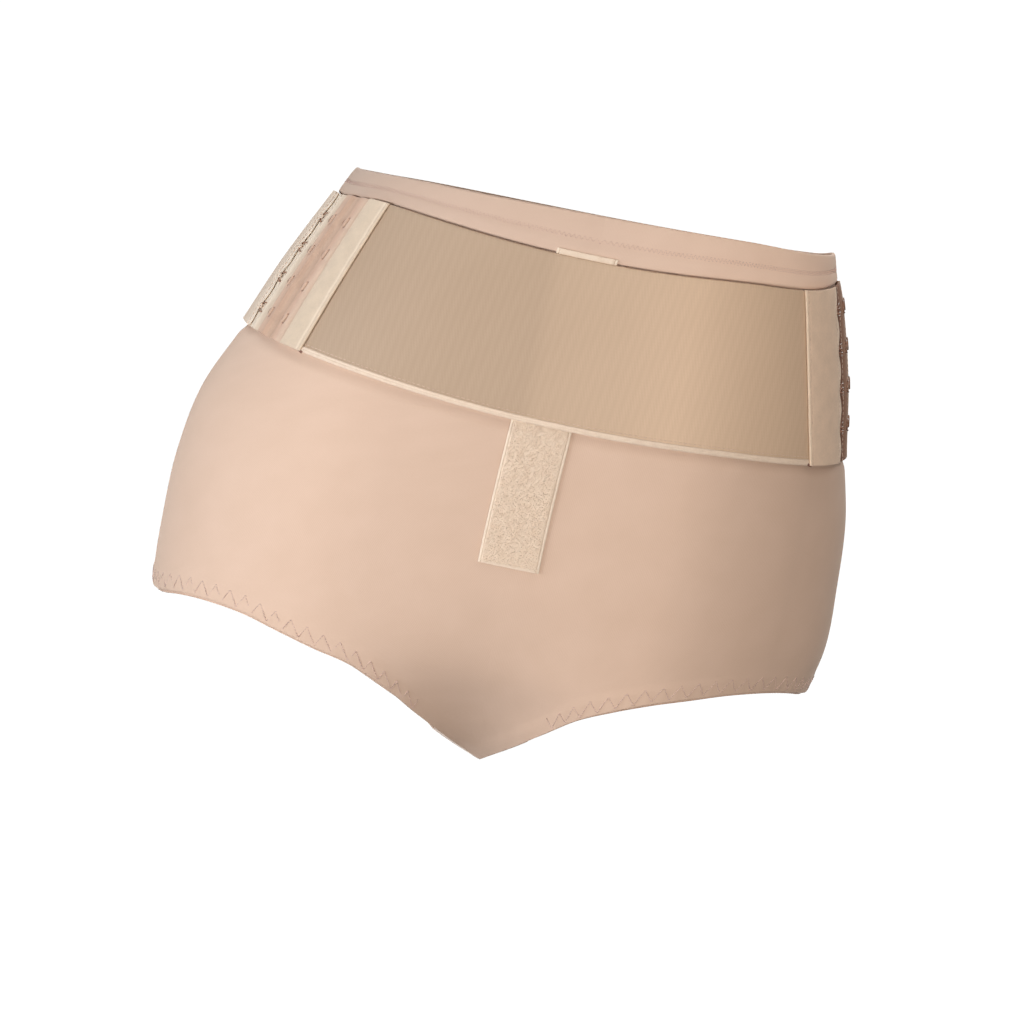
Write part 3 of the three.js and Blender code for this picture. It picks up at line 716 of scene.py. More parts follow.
def briefHeights(angle):
    top, hem, bottom = beltTopAt(angle) + cloth["gap"], hemAt(angle), beltBottomAt(angle)
    rows = [top, top - 0.1, top - 0.3]
    rows += [top + (bottom - top) * s for s in np.linspace(0.02, 0.98, briefSizes["underBelt"])]
    eased = form["pressEase"] * briefSizes["easeShare"]
    rows += [bottom - eased * s for s in np.linspace(0, 1, briefSizes["ease"])]
    start, end = bottom - eased, hem + 2.0
    rows += [start + (end - start) * s for s in np.linspace(0, 1, briefSizes["free"] + 1)[1:]]
    rows += [hem + 1.2, hem + 0.6, hem + 0.3, hem + 0.12, hem + 0.03, hem]
    return np.stack(rows, axis=-1)


def creaseDepth(points):
    depth = np.zeros(points.shape[:-1])
    for x, z, length, width, deep, tilt in briefSizes["creases"]:
        t = math.radians(tilt)
        along = (points[..., 0] - x) * math.cos(t) + (points[..., 2] - z) * math.sin(t)
        aside = -(points[..., 0] - x) * math.sin(t) + (points[..., 2] - z) * math.cos(t)
        aside = aside + along**2 / briefSizes["creaseBow"]
        here = np.exp(-((along / (length / 2)) ** 2) - (aside / width) ** 2)
        depth += np.where(points[..., 1] < 0, deep * here, 0)
    return depth


def hemLift(angle, z):
    rise = z - hemAt(angle)
    fold = briefSizes["hemFoldRise"] * (1 - smooth((rise - briefSizes["hemFold"]) / briefSizes["hemFoldEnd"]))
    sway = briefSizes["puckerSway"] * np.sin(angle * briefSizes["puckerSways"])
    turns = briefSizes["hipRadius"] * angle * 2 * math.pi / briefSizes["puckerPitch"]
    ripple = briefSizes["pucker"] * np.sin(turns + sway) * (1 - smooth(rise / briefSizes["puckerReach"]))
    return fold + ripple * smooth(rise / briefSizes["puckerStart"])


def makeBrief():
    angle = 2 * math.pi * np.arange(briefSizes["columns"]) / briefSizes["columns"]
    z = briefHeights(angle)
    angle = np.broadcast_to(angle[:, None], z.shape)
    half = cloth["knit"] / 2
    top = beltTopAt(angle) + cloth["gap"]
    ease = easedEdge(np.minimum(top - z, z - hemAt(angle)), half)
    lift = hemLift(angle, z) - creaseDepth(bodyPoint(angle, z))
    return wallMesh("brief", lambda out: clothPoint(angle, z, out), half, half, ease, lift, briefKnit, ring=True)


gussetSizes = {"frontShare": 0.15, "backShare": 0.18, "sag": 3, "waist": 0.12, "tuck": 0.5, "step": 2.0}


def gussetPoint(across, along, out):
    sideways = gussetSizes["frontShare"] + (gussetSizes["backShare"] - gussetSizes["frontShare"]) * along
    narrowing = 1 - gussetSizes["waist"] * np.sin(math.pi * along)

    def turned(share):
        return np.sign(share) * np.arcsin(np.abs(share) ** (form["squareness"] / 2))

    frontAngle = turned(across * gussetSizes["frontShare"])
    backAngle = math.pi - turned(across * gussetSizes["backShare"])
    front, back = bodyPoint(frontAngle, hemAt(frontAngle)), bodyPoint(backAngle, hemAt(backAngle))
    point = front + (back - front) * along[..., None]
    middle = front[..., 0] + (back[..., 0] - front[..., 0]) * along - across * sideways * form["hipHalfWidth"]
    x = middle + (point[..., 0] - middle) * narrowing
    z = point[..., 2] - gussetSizes["sag"] * np.sin(math.pi * along) - out
    return np.stack([x, point[..., 1], z], axis=-1)


def gussetLength():
    ends = bodyPoint(np.array([0.0, math.pi]), hemAt(np.array([0.0, math.pi])))
    return np.linalg.norm(ends[0] - ends[1])


def makeGusset():
    length, half, tuck = gussetLength(), cloth["knit"] / 2, gussetSizes["tuck"]
    down = edgedShares(length + 2 * tuck, gussetSizes["step"], half) * (length + 2 * tuck) - tuck
    width = 2 * gussetSizes["frontShare"] * form["hipHalfWidth"]
    sides = edgedShares(width, gussetSizes["step"], half) * 2 - 1
    across, along = np.meshgrid(sides, down / length, indexing="ij")
    fromEnds = np.minimum(along * length - cloth["gap"], length - cloth["gap"] - along * length)
    fromEdge = np.minimum((1 - np.abs(across)) * width / 2, fromEnds)
    ease = easedEdge(fromEdge, half)
    return wallMesh("gusset", lambda out: gussetPoint(across, along, out), half, half, ease, 0, briefKnit)


elasticSizes = {"height": 5.5, "shows": 1.6, "gap": 0.6, "thickness": 1.0, "columns": 190, "gussetColumns": 36}


# The narrow elastic round one leg opening, along the brief's hem and back along the gusset
def makeElastic(name, side):
    start = math.asin(gussetSizes["frontShare"] ** (form["squareness"] / 2))
    end = math.pi - math.asin(gussetSizes["backShare"] ** (form["squareness"] / 2))
    hidden = elasticSizes["height"] - elasticSizes["shows"]
    inward = 1 - hidden / (gussetSizes["frontShare"] * form["hipHalfWidth"])
    angle = side * np.linspace(start, end, elasticSizes["columns"])
    along = 1 - np.linspace(0.004, 0.996, elasticSizes["gussetColumns"])
    ones = np.ones_like(along)
    edge = np.concatenate([bodyPoint(angle, hemAt(angle)), gussetPoint(side * ones, along, 0)])
    upper = np.concatenate([bodyPoint(angle, hemAt(angle) + hidden), gussetPoint(side * inward * ones, along, 0)])
    tangent = np.roll(edge, -1, axis=0) - np.roll(edge, 1, axis=0)
    rise = unit(upper - edge)
    normal = unit(np.cross(tangent, rise) * side)
    for _ in range(3):
        normal = unit(normal + 0.5 * (np.roll(normal, 1, axis=0) + np.roll(normal, -1, axis=0)))
    half = elasticSizes["thickness"] / 2
    shares = edgedShares(elasticSizes["height"], 0.6, half)
    heights = hidden - shares * elasticSizes["height"]
    ease = easedEdge(np.minimum(shares, 1 - shares) * elasticSizes["height"], half)[None, :, None]
    base = edge[:, None] + rise[:, None] * heights[None, :, None]
    middle = base - normal[:, None] * (elasticSizes["gap"] + half)
    return clothMesh(name, middle + normal[:, None] * half * ease, middle - normal[:, None] * half * ease,
                     elasticWeave, ring=True)


brief, gusset = makeBrief(), makeGusset()
elastics = [makeElastic("legElasticLeft", -1), makeElastic("legElasticRight", 1)]
print("brief, gusset and leg elastics made")

# The waistband: a folded band with a row of zigzag stitches and a softly puffed lower lip
bandSizes = {"stitchShare": 0.56, "stitchGroove": 0.12, "grooveWidth": 2.0, "lip": 0.85, "lipReach": 0.4,
             "swell": 0.3, "height": 21, "step": 0.9, "columns": 420, "zigzagHeight": 2.2, "zigzagPitch": 2.6,
             "girth": 900}


def bandHeight(angle):
    return waistTopAt(angle) - beltTopAt(angle) - 2 * cloth["gap"]


def bandLift(angle, share):
    away = (share - bandSizes["stitchShare"]) * bandHeight(angle)
    groove = -bandSizes["stitchGroove"] * np.exp(-((away / bandSizes["grooveWidth"]) ** 2))
    lip = bandSizes["lip"] * smooth((share - bandSizes["stitchShare"]) / bandSizes["lipReach"])
    swell = bandSizes["swell"] * np.sin(np.clip(share / bandSizes["stitchShare"], 0, 1) * math.pi)
    return groove + lip + swell


def makeWaistband():
    half = cloth["waistband"] / 2
    angle = 2 * math.pi * np.arange(bandSizes["columns"]) / bandSizes["columns"]
    share = edgedShares(bandSizes["height"], bandSizes["step"], half)
    a, s = np.meshgrid(angle, share, indexing="ij")
    height = bandHeight(a)
    z = waistTopAt(a) - s * height
    ease = easedEdge(np.minimum(s, 1 - s) * height, half)
    return wallMesh("waistband", lambda out: clothPoint(a, z, out), half, half, ease, bandLift(a, s), bandKnit,
                    ring=True)


def onBand(angle, share, above):
    z = waistTopAt(angle) - share * bandHeight(angle)
    return clothPoint(angle, z, cloth["waistband"] + bandLift(angle, share) + above)


waistband = makeWaistband()

# The pile strip down the middle of the front: flat woven selvedges and a matted pile between them
stripSizes = {"width": 31, "tab": 3, "bottomDrop": 170, "lean": 4, "selvedge": 1.4, "pileRise": 0.35, "step": 1.0,
              "loopDensity": 1.9e6, "loop": 0.00042}


def stripPlace(across, share, out):
    # share runs from the tab's top to the strip's lower end
    topZ = beltTopAt(0.0) + stripSizes["tab"]
    z = topZ + (-stripSizes["bottomDrop"] - topZ) * share
    angle = angleAt(across - stripSizes["lean"] * (1 - share), z)
    z = z + (beltTopAt(angle) - beltTopAt(0.0)) * (1 - share)
    overBand = smooth((z - beltTopAt(angle) + 0.2) / 0.6)
    base = stripBase + overBand * (cloth["waistband"] + cloth["gap"] - stripBase + 0.25)
    return clothPoint(angle, z, base + out)


def stripLength():
    return stripSizes["bottomDrop"] + beltTopAt(0.0) + stripSizes["tab"]


def makeStrip(name, fromEdge, toEdge, finish, rise, rough=0.0):
    length, width, half = float(stripLength()), toEdge - fromEdge, cloth["pile"] / 2
    across = fromEdge + edgedShares(width, stripSizes["step"], half) * width
    share = edgedShares(length, stripSizes["step"], half)
    a, s = np.meshgrid(across, share, indexing="ij")
    ease = easedEdge(np.minimum.reduce([a - fromEdge, toEdge - a, s * length, (1 - s) * length]), half)
    wobble = rough * (np.sin(a * 2.1 + 3 * np.sin(s * length * 0.9)) * np.sin(s * length * 1.7 + a))
    return wallMesh(name, lambda out: stripPlace(a, s, out), half, half, ease, rise + wobble, finish)


def pileGuide():
    length, edge = float(stripLength()), stripSizes["width"] / 2 - stripSizes["selvedge"]
    across = np.linspace(-edge + 0.4, edge - 0.4, 20)
    share = np.linspace((form["beltHeight"] + 3) / length, 1 - 1.2 / length, 60)
    a, s = np.meshgrid(across, share, indexing="ij")
    points = stripPlace(a, s, cloth["pile"] + stripSizes["pileRise"] - 0.1).reshape(-1, 3)
    ids = np.arange(len(points)).reshape(a.shape)
    faces = [(ids[i, j], ids[i, j + 1], ids[i + 1, j + 1], ids[i + 1, j])
             for i in range(a.shape[0] - 1) for j in range(a.shape[1] - 1)]
    return plainMesh("pileGuide", points, faces)


edgeOfPile = stripSizes["width"] / 2 - stripSizes["selvedge"]
loopStrip = makeStrip("loopStrip", -edgeOfPile, edgeOfPile, pileMat, stripSizes["pileRise"], 0.1)
selvedges = [makeStrip("selvedgeLeft", -stripSizes["width"] / 2, -edgeOfPile + 0.05, selvedgeWeave, 0.1),
             makeStrip("selvedgeRight", edgeOfPile - 0.05, stripSizes["width"] / 2, selvedgeWeave, 0.1)]
pile = grown("pileLoops", pileGuide(), pileLoops, {
    "Density": stripSizes["loopDensity"], "Loop": stripSizes["loop"], "Thread": 0.00009, "Seed": 5,
}, pileMat)
print("waistband and pile strip made")

# The belt: lengths round the body from the middle of the front, and the places on its tapes
beltSizes = {
    "panelLeftTop": 112, "panelLeftBottom": 134, "panelRightTop": 116, "panelRightBottom": 146,
    "bindingHeight": 3, "casingWidth": 15, "eyeTapeWidth": 50, "hookTapeWidth": 33, "scallopDepth": 2.4,
    "casingCover": 4, "tapeCover": 6, "rowPitch": 19, "rows": 4, "columnPitch": 16, "columns": 3,
    "firstColumn": 4, "leftRowsDrop": 1.5, "rightRowsDrop": -3, "eyeLength": 5, "eyeWidth": 5.5, "hookLength": 4.2,
    "hookWidth": 2, "hookClearance": 1.6, "wire": 0.8, "hipRadius": 143,
}
b = beltSizes


def leftEdge(down):
    return -(b["panelLeftTop"] + (b["panelLeftBottom"] - b["panelLeftTop"]) * down)


def rightEdge(down):
    return b["panelRightTop"] + (b["panelRightBottom"] - b["panelRightTop"]) * down


def leftCasingEnd(down):
    return leftEdge(down) - b["casingWidth"]


def leftEyeTapeEnd(down):
    return leftCasingEnd(down) - b["eyeTapeWidth"]


def rightNotches(down):
    return rightEdge(down) + b["hookTapeWidth"] - b["scallopDepth"]


def rightEyeTapeStart(down):
    return rightNotches(down) - b["tapeCover"]


def leftColumn(down, column):
    return leftCasingEnd(down) - b["firstColumn"] - column * b["columnPitch"]


def leftNotches(down):
    return leftColumn(down, b["columns"] - 1) - b["eyeLength"] - b["hookClearance"]


def rightColumn(down, column):
    return rightNotches(down) + b["hookClearance"] + b["eyeLength"] + column * b["columnPitch"]


# The rows' middle lies a little below the belt's at one side and above it at the other
def rowShare(row, side):
    return 0.5 + (b[side + "RowsDrop"] + (row - (b["rows"] - 1) / 2) * b["rowPitch"]) / form["beltHeight"]


def scallop(down, side):
    turns = (down - rowShare(0, side)) * form["beltHeight"] / b["rowPitch"]
    return b["scallopDepth"] * (1 - np.cos(2 * math.pi * turns)) / 2


def leftHookTapeStart(down):
    return leftNotches(down) - b["hookTapeWidth"] + b["scallopDepth"]


def leftHookTapeEnd(down):
    return leftNotches(down) + scallop(down, "left")


def rightHookTapeEnd(down):
    return rightNotches(down) + scallop(down, "right")


# A cloth of the belt between two edges, with relief(along, height) in mm added to its outer face
def beltCloth(name, start, end, down, step, base, thickness, finish, relief, throughBack=False, extra=(),
              flush=None):
    middleRow, half = np.array([0.5]), thickness / 2
    girth = 2 * math.pi * b["hipRadius"] if throughBack else 0
    width = float(end(middleRow)[0] - start(middleRow)[0]) + girth
    columns = edgedShares(width, step, half, extra)
    startAngle, endAngle = beltAngle(start(down), down), beltAngle(end(down), down)
    if throughBack:
        endAngle = endAngle + 2 * math.pi
    angle = startAngle[None] + (endAngle - startAngle)[None] * columns[:, None]
    z = beltZ(angle, down[None])
    along = columns[:, None] * np.ones_like(down)[None] * width
    height = (down * form["beltHeight"])[None] * np.ones_like(along)
    fromTop, fromBottom = height - height[:, :1], height[:, -1:] - height
    if flush == "top":
        fromTop = fromTop + thickness
    if flush == "bottom":
        fromBottom = fromBottom + thickness
    fromEdge = np.minimum.reduce([along, width - along, fromTop, fromBottom])
    ease = easedEdge(fromEdge, half)
    return wallMesh(name, lambda out: clothPoint(angle, z, out), base + half, half, ease, relief(along, height),
                    finish)


def beltRows(top, bottom, step, thickness):
    length = (bottom - top) * form["beltHeight"]
    return top + edgedShares(length, step, thickness / 2) * (bottom - top)


bindingTop = 1 - b["bindingHeight"] / form["beltHeight"]
panelBottom = bindingTop - 0.1 / form["beltHeight"]
panelRows = beltRows(0, panelBottom, 1.6, cloth["net"])
bindingRows = beltRows(bindingTop, 1, 0.4, cloth["net"])
tapeRows = beltRows(0, 1, 1.0, cloth["tape"])


def panelRelief(along, height):
    fold = 0.28 * np.exp(-((height - 1.2) / 1.1) ** 2)
    return fold + 0.05 * np.sin(along / 9 + np.sin(height / 14))


def bindingRelief(along, height):
    t = np.clip((height - bindingTop * form["beltHeight"]) / b["bindingHeight"], 0, 1)
    return 0.42 * np.sin(t * math.pi) ** 0.7 - 0.4 * np.exp(-((t - 0.4) / 0.1) ** 2)


casingSeam = 1.5


def casingRelief(along, height):
    fromEnd = along - b["casingWidth"] + casingSeam
    stitchLine = np.exp(-((along - casingSeam) / 0.5) ** 2) + np.exp(-(fromEnd / 0.5) ** 2)
    body = np.clip((along - casingSeam) / (b["casingWidth"] - 2 * casingSeam), 0, 1)
    return 0.16 * np.sin(body * math.pi) ** 0.8 - 0.07 * stitchLine


# The folds over the eyes, measured from each column's base, the slits in them, and the seam beside each fold
tuckSizes = {
    "reach": 7.4, "reachInUse": 1.2, "shareInUse": 0.4, "near": 1.8, "far": 4.0, "farStart": 0.6,
    "seam": 1.6, "seamWidth": 0.4, "seamDepth": 0.15, "slit": 3.0, "slitWidth": 0.55, "slitLean": 0.06,
    "slitHalfHeight": 2.7, "slitDepth": 0.9,
}
# The hook tape's two seams, measured from each side, its thinned edge, and the feet under it
footSizes = {
    "outerSeam": 3.4, "outerDepth": 0.25, "innerSeam": 2.2, "innerDepth": 0.2, "seamWidth": 0.45,
    "thinStart": 1.0, "thinReach": 4.5, "start": 3.6, "startReach": 1.2, "end": 10.5, "endReach": 2.5,
    "halfHeight": 2.6, "rise": 0.22,
}


# Each column of eyes lies under a sewn fold, with a slit over each eye's loop. The fold of the column in use stops
# short, where the hooks reach under it.
def tucks(bases, side, inUse, fold):
    c = tuckSizes

    def relief(along, height):
        lift = 0
        for column, base in enumerate(bases):
            t = along - base
            used = column == inUse
            reach, rise = (c["reachInUse"], fold * c["shareInUse"]) if used else (c["reach"], fold)
            lift = lift + rise * smooth((t + reach) / c["near"]) * (1 - smooth((t - c["farStart"]) / c["far"]))
            lift = lift - c["seamDepth"] * np.exp(-((t - c["seam"]) / c["seamWidth"]) ** 2)
            for row in range(0 if used else b["rows"]):
                away = height - rowShare(row, side) * form["beltHeight"]
                aside = (t + c["slit"] + away * c["slitLean"]) / c["slitWidth"]
                slit = np.exp(-aside ** 2 - (away / c["slitHalfHeight"]) ** 4)
                lift = lift - (fold + c["slitDepth"]) * slit
        return lift
    return relief


# The hooks' feet press up through their tape, and a worn tape's scalloped edge is pressed thin
def hookFeet(side, pressed):
    c = footSizes

    def relief(along, height):
        away = b["hookTapeWidth"] - along
        thin = 1 - smooth((away - c["thinStart"]) / c["thinReach"])
        lift = -c["outerDepth"] * np.exp(-((away - c["outerSeam"]) / c["seamWidth"]) ** 2) - pressed * thin
        fromStart = b["hookTapeWidth"] - away - c["innerSeam"]
        lift = lift - c["innerDepth"] * np.exp(-(fromStart / c["seamWidth"]) ** 2)
        foot = smooth((away - c["start"]) / c["startReach"]) * (1 - smooth((away - c["end"]) / c["endReach"]))
        for row in range(b["rows"]):
            aside = (height - rowShare(row, side) * form["beltHeight"]) / c["halfHeight"]
            lift = lift + c["rise"] * foot * np.exp(-aside**2)
        return lift
    return relief


leftTapeWidth = b["eyeTapeWidth"] + b["casingWidth"] - b["casingCover"] - cloth["gap"]
leftBases = [b["eyeTapeWidth"] - b["firstColumn"] - c * b["columnPitch"] for c in range(b["columns"])]
firstBase = b["tapeCover"] + b["hookClearance"] + b["eyeLength"]
rightBases = [firstBase + c * b["columnPitch"] for c in range(b["columns"])]
leftStripes = [(0, "#d6bca6"), (3, "#e2cfb8"), (8, "#e3d1ba"), (13, "#e7d5bf"), (18, "#e6d3bd"), (21, "#d8c2aa"),
               (25, "#d8bfa6"), (28, "#ceac94"), (33, "#c19d86"), (38, "#c9a78f"), (42, "#bf9b83"), (46, "#caa790"),
               (50, "#d4b7a1"), (57, "#d6b79f")]
# The right eye tape is the same rose-tan tricot as the left. It is darkened as painted shade over its first 20 mm,
# where it shows beside the hooks and faces away from the light.
shadedRightStripes = [(0, "#835c49"), (8, "#7d5643"), (14, "#825b48"), (22, "#a27c67"), (29, "#b4917d"), (40, "#d3bca6"),
                (50, "#c8aa93")]
leftTape = brushedTape("brushed tricot eye tape", leftStripes, leftTapeWidth)
shadedRightTape = brushedTape("brushed tricot eye tape with painted shade", shadedRightStripes, b["eyeTapeWidth"], sheen=0.02)
# The pale first 1.2 mm is a painted highlight along the tape's left edge, where it faces the light.
hookTape = brushedTape("brushed tricot hook tape", [
    (0, "#f3ddc4"), (1.2, "#f0d8be"), (2.6, "#e2c5ab"), (20, "#dfc2a8"), (31, "#e2c5ab"), (33, "#e8d0b8"),
], b["hookTapeWidth"], nap=0.3)
# The left hook tape is a lit copy of the hook tape: its cream stripes are painted light, and the paler stripe at its
# scalloped edge is a painted highlight.
litLeftHookTape = brushedTape("brushed tricot hook tape with painted light", [
    (0, "#d8c0aa"), (16, "#dac3ad"), (26, "#dfcab4"), (33, "#e8d7c4"),
], b["hookTapeWidth"], nap=0.3)
# Extra columns of points beside each base, where the folds and slits turn sharply
steps = (-4.1, -3.8, -3.6, -3.4, -3.2, -3.0, -2.8, -2.6, -2.4, -2.2, -1.9, 1.3, 1.6, 1.9)
leftRefined, rightRefined = ([place + d for place in bases for d in steps] for bases in (leftBases, rightBases))


def makePanel(name, start, end, panelStep, bindingStep, throughBack=False):
    panel = beltCloth(name + "Panel", start, end, panelRows, panelStep, beltBase, cloth["net"], net, panelRelief,
                      throughBack, flush="bottom")
    binding = beltCloth(name + "Binding", start, end, bindingRows, bindingStep, beltBase, cloth["net"], bindingWeave,
                        bindingRelief, throughBack, flush="top")
    return panel, binding


front, frontBinding = makePanel("beltFront", lambda d: leftEdge(d) - b["casingCover"],
                                lambda d: rightNotches(d) - b["tapeCover"] - cloth["gap"], 1.6, 1.2)
back, backBinding = makePanel("beltBack", lambda d: rightEyeTapeStart(d) + b["eyeTapeWidth"] + cloth["gap"],
                              lambda d: leftEyeTapeEnd(d) - cloth["gap"], 2.0, 1.6, throughBack=True)
casing = beltCloth("leftCasing", leftCasingEnd, leftEdge, beltRows(0, 1, 1.2, cloth["casing"]), 0.5, coverBase,
                   cloth["casing"], casingTricot, casingRelief)
leftEyeTape = beltCloth("leftEyeTape", leftEyeTapeEnd, lambda d: leftEdge(d) - b["casingCover"] - cloth["gap"],
                        tapeRows, 0.8, beltBase, cloth["net"], leftTape, tucks(leftBases, "left", 2, 1.1),
                        extra=leftRefined)
rightEyeTape = beltCloth("rightEyeTape", rightEyeTapeStart, lambda d: rightEyeTapeStart(d) + b["eyeTapeWidth"],
                         tapeRows, 0.8, beltBase, cloth["net"], shadedRightTape, tucks(rightBases, "right", 0, 0.3),
                         extra=rightRefined)
leftHookTape = beltCloth("leftHookTape", leftHookTapeStart, leftHookTapeEnd, tapeRows, 0.8, coverBase, cloth["tape"],
                         litLeftHookTape, hookFeet("left", 0.8))
rightHookTape = beltCloth("rightHookTape", rightEdge, rightHookTapeEnd, tapeRows, 0.8, coverBase, cloth["tape"],
                          hookTape, hookFeet("right", 0.2))
print("belt and tapes made")


# Wire eyes and hooks, swept along their paths
def besideBelt(edge, share, away, below, out):
    down = share + below / form["beltHeight"]
    angle = beltAngle(edge(down) + away, down)
    return clothPoint(angle, beltZ(angle, down), out)


def smoothRun(points, count=6):
    p = np.array(points, float)
    p = np.concatenate([[2 * p[0] - p[1]], p, [2 * p[-1] - p[-2]]])
    run = []
    for i in range(1, len(p) - 2):
        for t in np.arange(count) / count:
            square = 2 * p[i - 1] - 5 * p[i] + 4 * p[i + 1] - p[i + 2]
            cube = 3 * p[i] - p[i - 1] - 3 * p[i + 1] + p[i + 2]
            run.append(0.5 * (2 * p[i] + (p[i + 1] - p[i - 1]) * t + square * t**2 + cube * t**3))
    return run + [p[-2]]


def eyeRun(edge, row, side):
    p = np.array(smoothRun([(0, -0.5), (0.45, -0.5), (0.82, -0.34), (1, 0), (0.82, 0.34), (0.45, 0.5), (0, 0.5)]))
    out = beltFace + cloth["gap"] + b["wire"] / 2
    return besideBelt(edge, rowShare(row, side), -p[:, 0] * b["eyeLength"], p[:, 1] * b["eyeWidth"], out)


def hookRun(edge, row, side):
    over = beltFace + 2 * cloth["gap"] + 1.5 * b["wire"]
    low = beltFace + cloth["gap"] + b["wire"] / 2
    start, tip = coverBase + cloth["tape"] / 2, over * 0.4 + low * 0.6
    leg = [(0.12, 0.5, start), (0.35, 0.5, over), (0.75, 0.5, over), (1, 0.3, tip)]
    p = np.array(smoothRun(leg + [(length, -width, out) for length, width, out in leg[::-1]]))
    return besideBelt(edge, rowShare(row, side), p[:, 0] * b["hookLength"], p[:, 1] * b["hookWidth"], p[:, 2])


def wireWork(name, runs, nodes, finish):
    dressed(grown(name, lineGuide(name + "Guide", runs), sweptWire, {"Radius": b["wire"] / 2000, "Sides": 8}, finish),
            nodes)


closures = (("left", leftColumn, leftNotches, tanWire, litLeftHookWire),
            ("right", rightColumn, rightNotches, shadedRightWire, shadedRightWire))
for side, column, notches, eyeWire, hookWire in closures:
    eyeRuns = [eyeRun(lambda d, c=c: column(d, c), row, side)
               for c in range(b["columns"]) for row in range(b["rows"])]
    wireWork(side + "Eyes", eyeRuns, [f"{side}_eye_{i + 1}" for i in range(b["columns"] * b["rows"])], eyeWire)
    wireWork(side + "Hooks", [hookRun(notches, row, side) for row in range(b["rows"])],
             [f"{side}_hook_{row + 1}" for row in range(b["rows"])], hookWire)
print("hooks and eyes made")


# Stitches

def beltRun(edge, away, out, start=0.01, end=0.99, count=120):
    down = np.linspace(start, end, count)
    angle = beltAngle(edge(down) + away, down)
    return clothPoint(angle, beltZ(angle, down), out)


def roundRun(down, out, start, end, count=300):
    first = beltAngle(start(np.array([down])), np.array([down]))[0]
    last = beltAngle(end(np.array([down])), np.array([down]))[0]
    angle = np.linspace(first, last, count)
    return clothPoint(angle, beltZ(angle, down), out)


lockstitch = {"Pitch": 0.0026, "Length": 0.0021, "Radius": 0.00017, "Seed": 3}
sunk = 0.12
casingFace = coverBase + cloth["casing"]
tapeFace = coverBase + cloth["tape"]
stitchesOf = {
    "casingStitches": ([beltRun(edge, away, casingFace - sunk) for edge, away in (
        (leftCasingEnd, casingSeam), (leftEdge, -casingSeam))], seamThread, "casing_tape"),
    "tapeStitches": (
        [beltRun(lambda d, of=of, c=c: of(d, c), tuckSizes["seam"], beltFace + 0.3)
         for of in (leftColumn, rightColumn) for c in range(b["columns"])]
        + [beltRun(edge, away, tapeFace - sunk) for edge, away in (
            (rightEdge, footSizes["innerSeam"]), (rightHookTapeEnd, -footSizes["outerSeam"]),
            (leftHookTapeStart, footSizes["innerSeam"]), (leftHookTapeEnd, -footSizes["outerSeam"]))],
        seamThread, "eye_tape"),
    "bindingStitches": (
        [roundRun(bindingTop - 1.3 / form["beltHeight"], beltFace + 0.06, leftEdge, rightEdge)],
        seamThread, "belt_binding"),
}
for name, (runs, finish, slot) in stitchesOf.items():
    stitched(name, runs, lockstitch, finish)


def stripStitchRuns():
    edge = stripSizes["width"] / 2
    length = float(stripLength())
    share = np.linspace((form["beltHeight"] + 1) / length, 1 - 1.0 / length, 90)
    runs = [stripPlace(np.full_like(share, side * (edge - 0.9)), share, cloth["pile"] + 0.06) for side in (-1, 1)]
    across = np.linspace(-edge + 1, edge - 1, 40)
    return runs + [stripPlace(across, np.full_like(across, 1 - 1.6 / length), cloth["pile"] + 0.5)]


stitched("stripStitches", stripStitchRuns(), {"Pitch": 0.0024, "Length": 0.0021, "Radius": 0.00014, "Seed": 4},
         creamThread)


# The hems' wide zigzag, and the waistband's narrow one
hemStitch = {"pitch": 9, "low": 1.6, "high": 8.6}


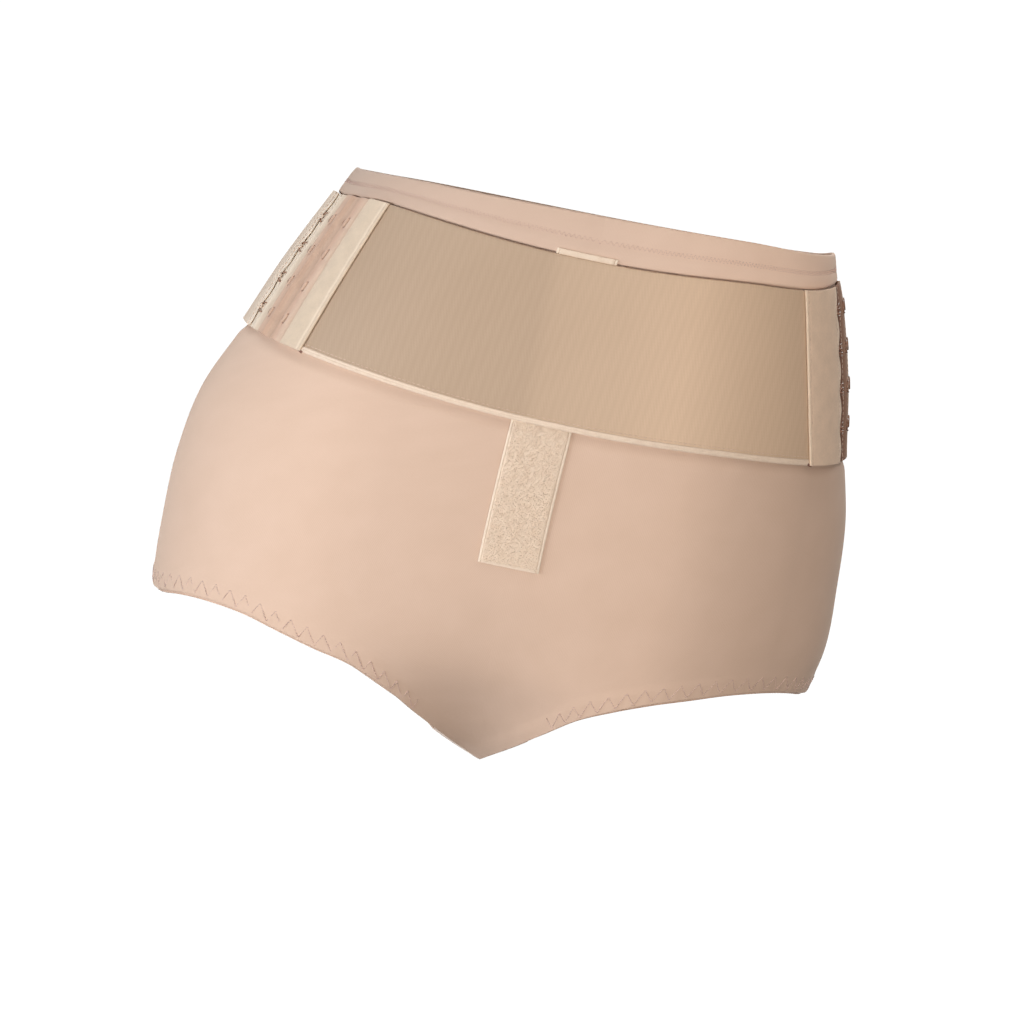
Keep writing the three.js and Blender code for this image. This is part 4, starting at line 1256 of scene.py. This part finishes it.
def hemRuns():
    start = math.asin(gussetSizes["frontShare"] ** (form["squareness"] / 2)) + 0.05
    runs = []
    for side in (-1, 1):
        fine = np.linspace(start, math.pi - start, 4000)
        route = bodyPoint(side * fine, hemAt(side * fine))
        length = np.concatenate([[0], np.cumsum(np.linalg.norm(np.diff(route, axis=0), axis=1))])
        peaks = int(length[-1] // (hemStitch["pitch"] / 2))
        places = np.linspace(0, length[-1], peaks * 8 + 1)
        angle = side * np.interp(places, length, fine)
        wave = np.abs((np.arange(len(places)) / 8) % 2 - 1)
        z = hemAt(angle) + hemStitch["low"] + (hemStitch["high"] - hemStitch["low"]) * wave
        runs.append(clothPoint(angle, z, cloth["knit"] + hemLift(angle, z) + 0.04))
    return runs


def bandRun():
    count = int(bandSizes["girth"] / bandSizes["zigzagPitch"]) * 2
    angle = np.linspace(0, 2 * math.pi, count * 4 + 1)
    wave = np.abs((np.arange(len(angle)) / 4) % 2 - 1) - 0.5
    share = bandSizes["stitchShare"] + wave * bandSizes["zigzagHeight"] / bandHeight(angle)
    return onBand(angle, share, 0.05)


stitched("hemStitches", hemRuns(), {"Pitch": 0.0016, "Length": 0.0015, "Radius": 0.0002, "Seed": 8},
         roseThread)
stitched("waistbandStitches", [bandRun()], {"Pitch": 0.0013, "Length": 0.0012, "Radius": 0.00014, "Seed": 9},
         mauveThread)


# Small dark stitched marks at the corners where the casing and the hook tape end at the belt's lower edge
def cornerMarkRuns():
    runs = []
    for edge, away in ((leftEdge, -0.4), (rightEdge, 0.4)):
        for step in (-0.5, 0, 0.5):
            down = np.array([0.992, 0.999]) + step / form["beltHeight"] * 0.9
            angle = beltAngle(edge(down) + away + np.array([-1.0, 1.0]), down)
            runs.append(clothPoint(angle, beltZ(angle, down) - 0.2, beltFace + 0.25))
    return runs


stitched("cornerMarks", cornerMarkRuns(), {"Pitch": 0.0009, "Length": 0.0014, "Radius": 0.00028, "Seed": 2},
         cornerMarkThread)
print("stitches made")

# What each piece rides on and which parts of the frame it replaces.
dressed(brief, ["brief_shell"])
dressed(gusset, ["gusset"])
for piece, node in zip(elastics, ("leg_elastic_left", "leg_elastic_right")):
    dressed(piece, [node])
dressed(waistband, ["waistband"])
dressed(loopStrip, ["loop_strip"])
for piece in (pile, *selvedges):
    dressed(piece)
dressed(front, ["belt_front_panel"])
dressed(back, ["belt_back_panel"])
dressed(frontBinding, ["belt_front_binding"])
dressed(backBinding, ["belt_back_binding"])
dressed(casing, ["left_casing"])
dressed(leftEyeTape, ["left_eye_tape"])
dressed(rightEyeTape, ["right_eye_tape"])
dressed(leftHookTape, ["left_hook_tape"])
dressed(rightHookTape, ["right_hook_tape"])
print("pieces dressed")
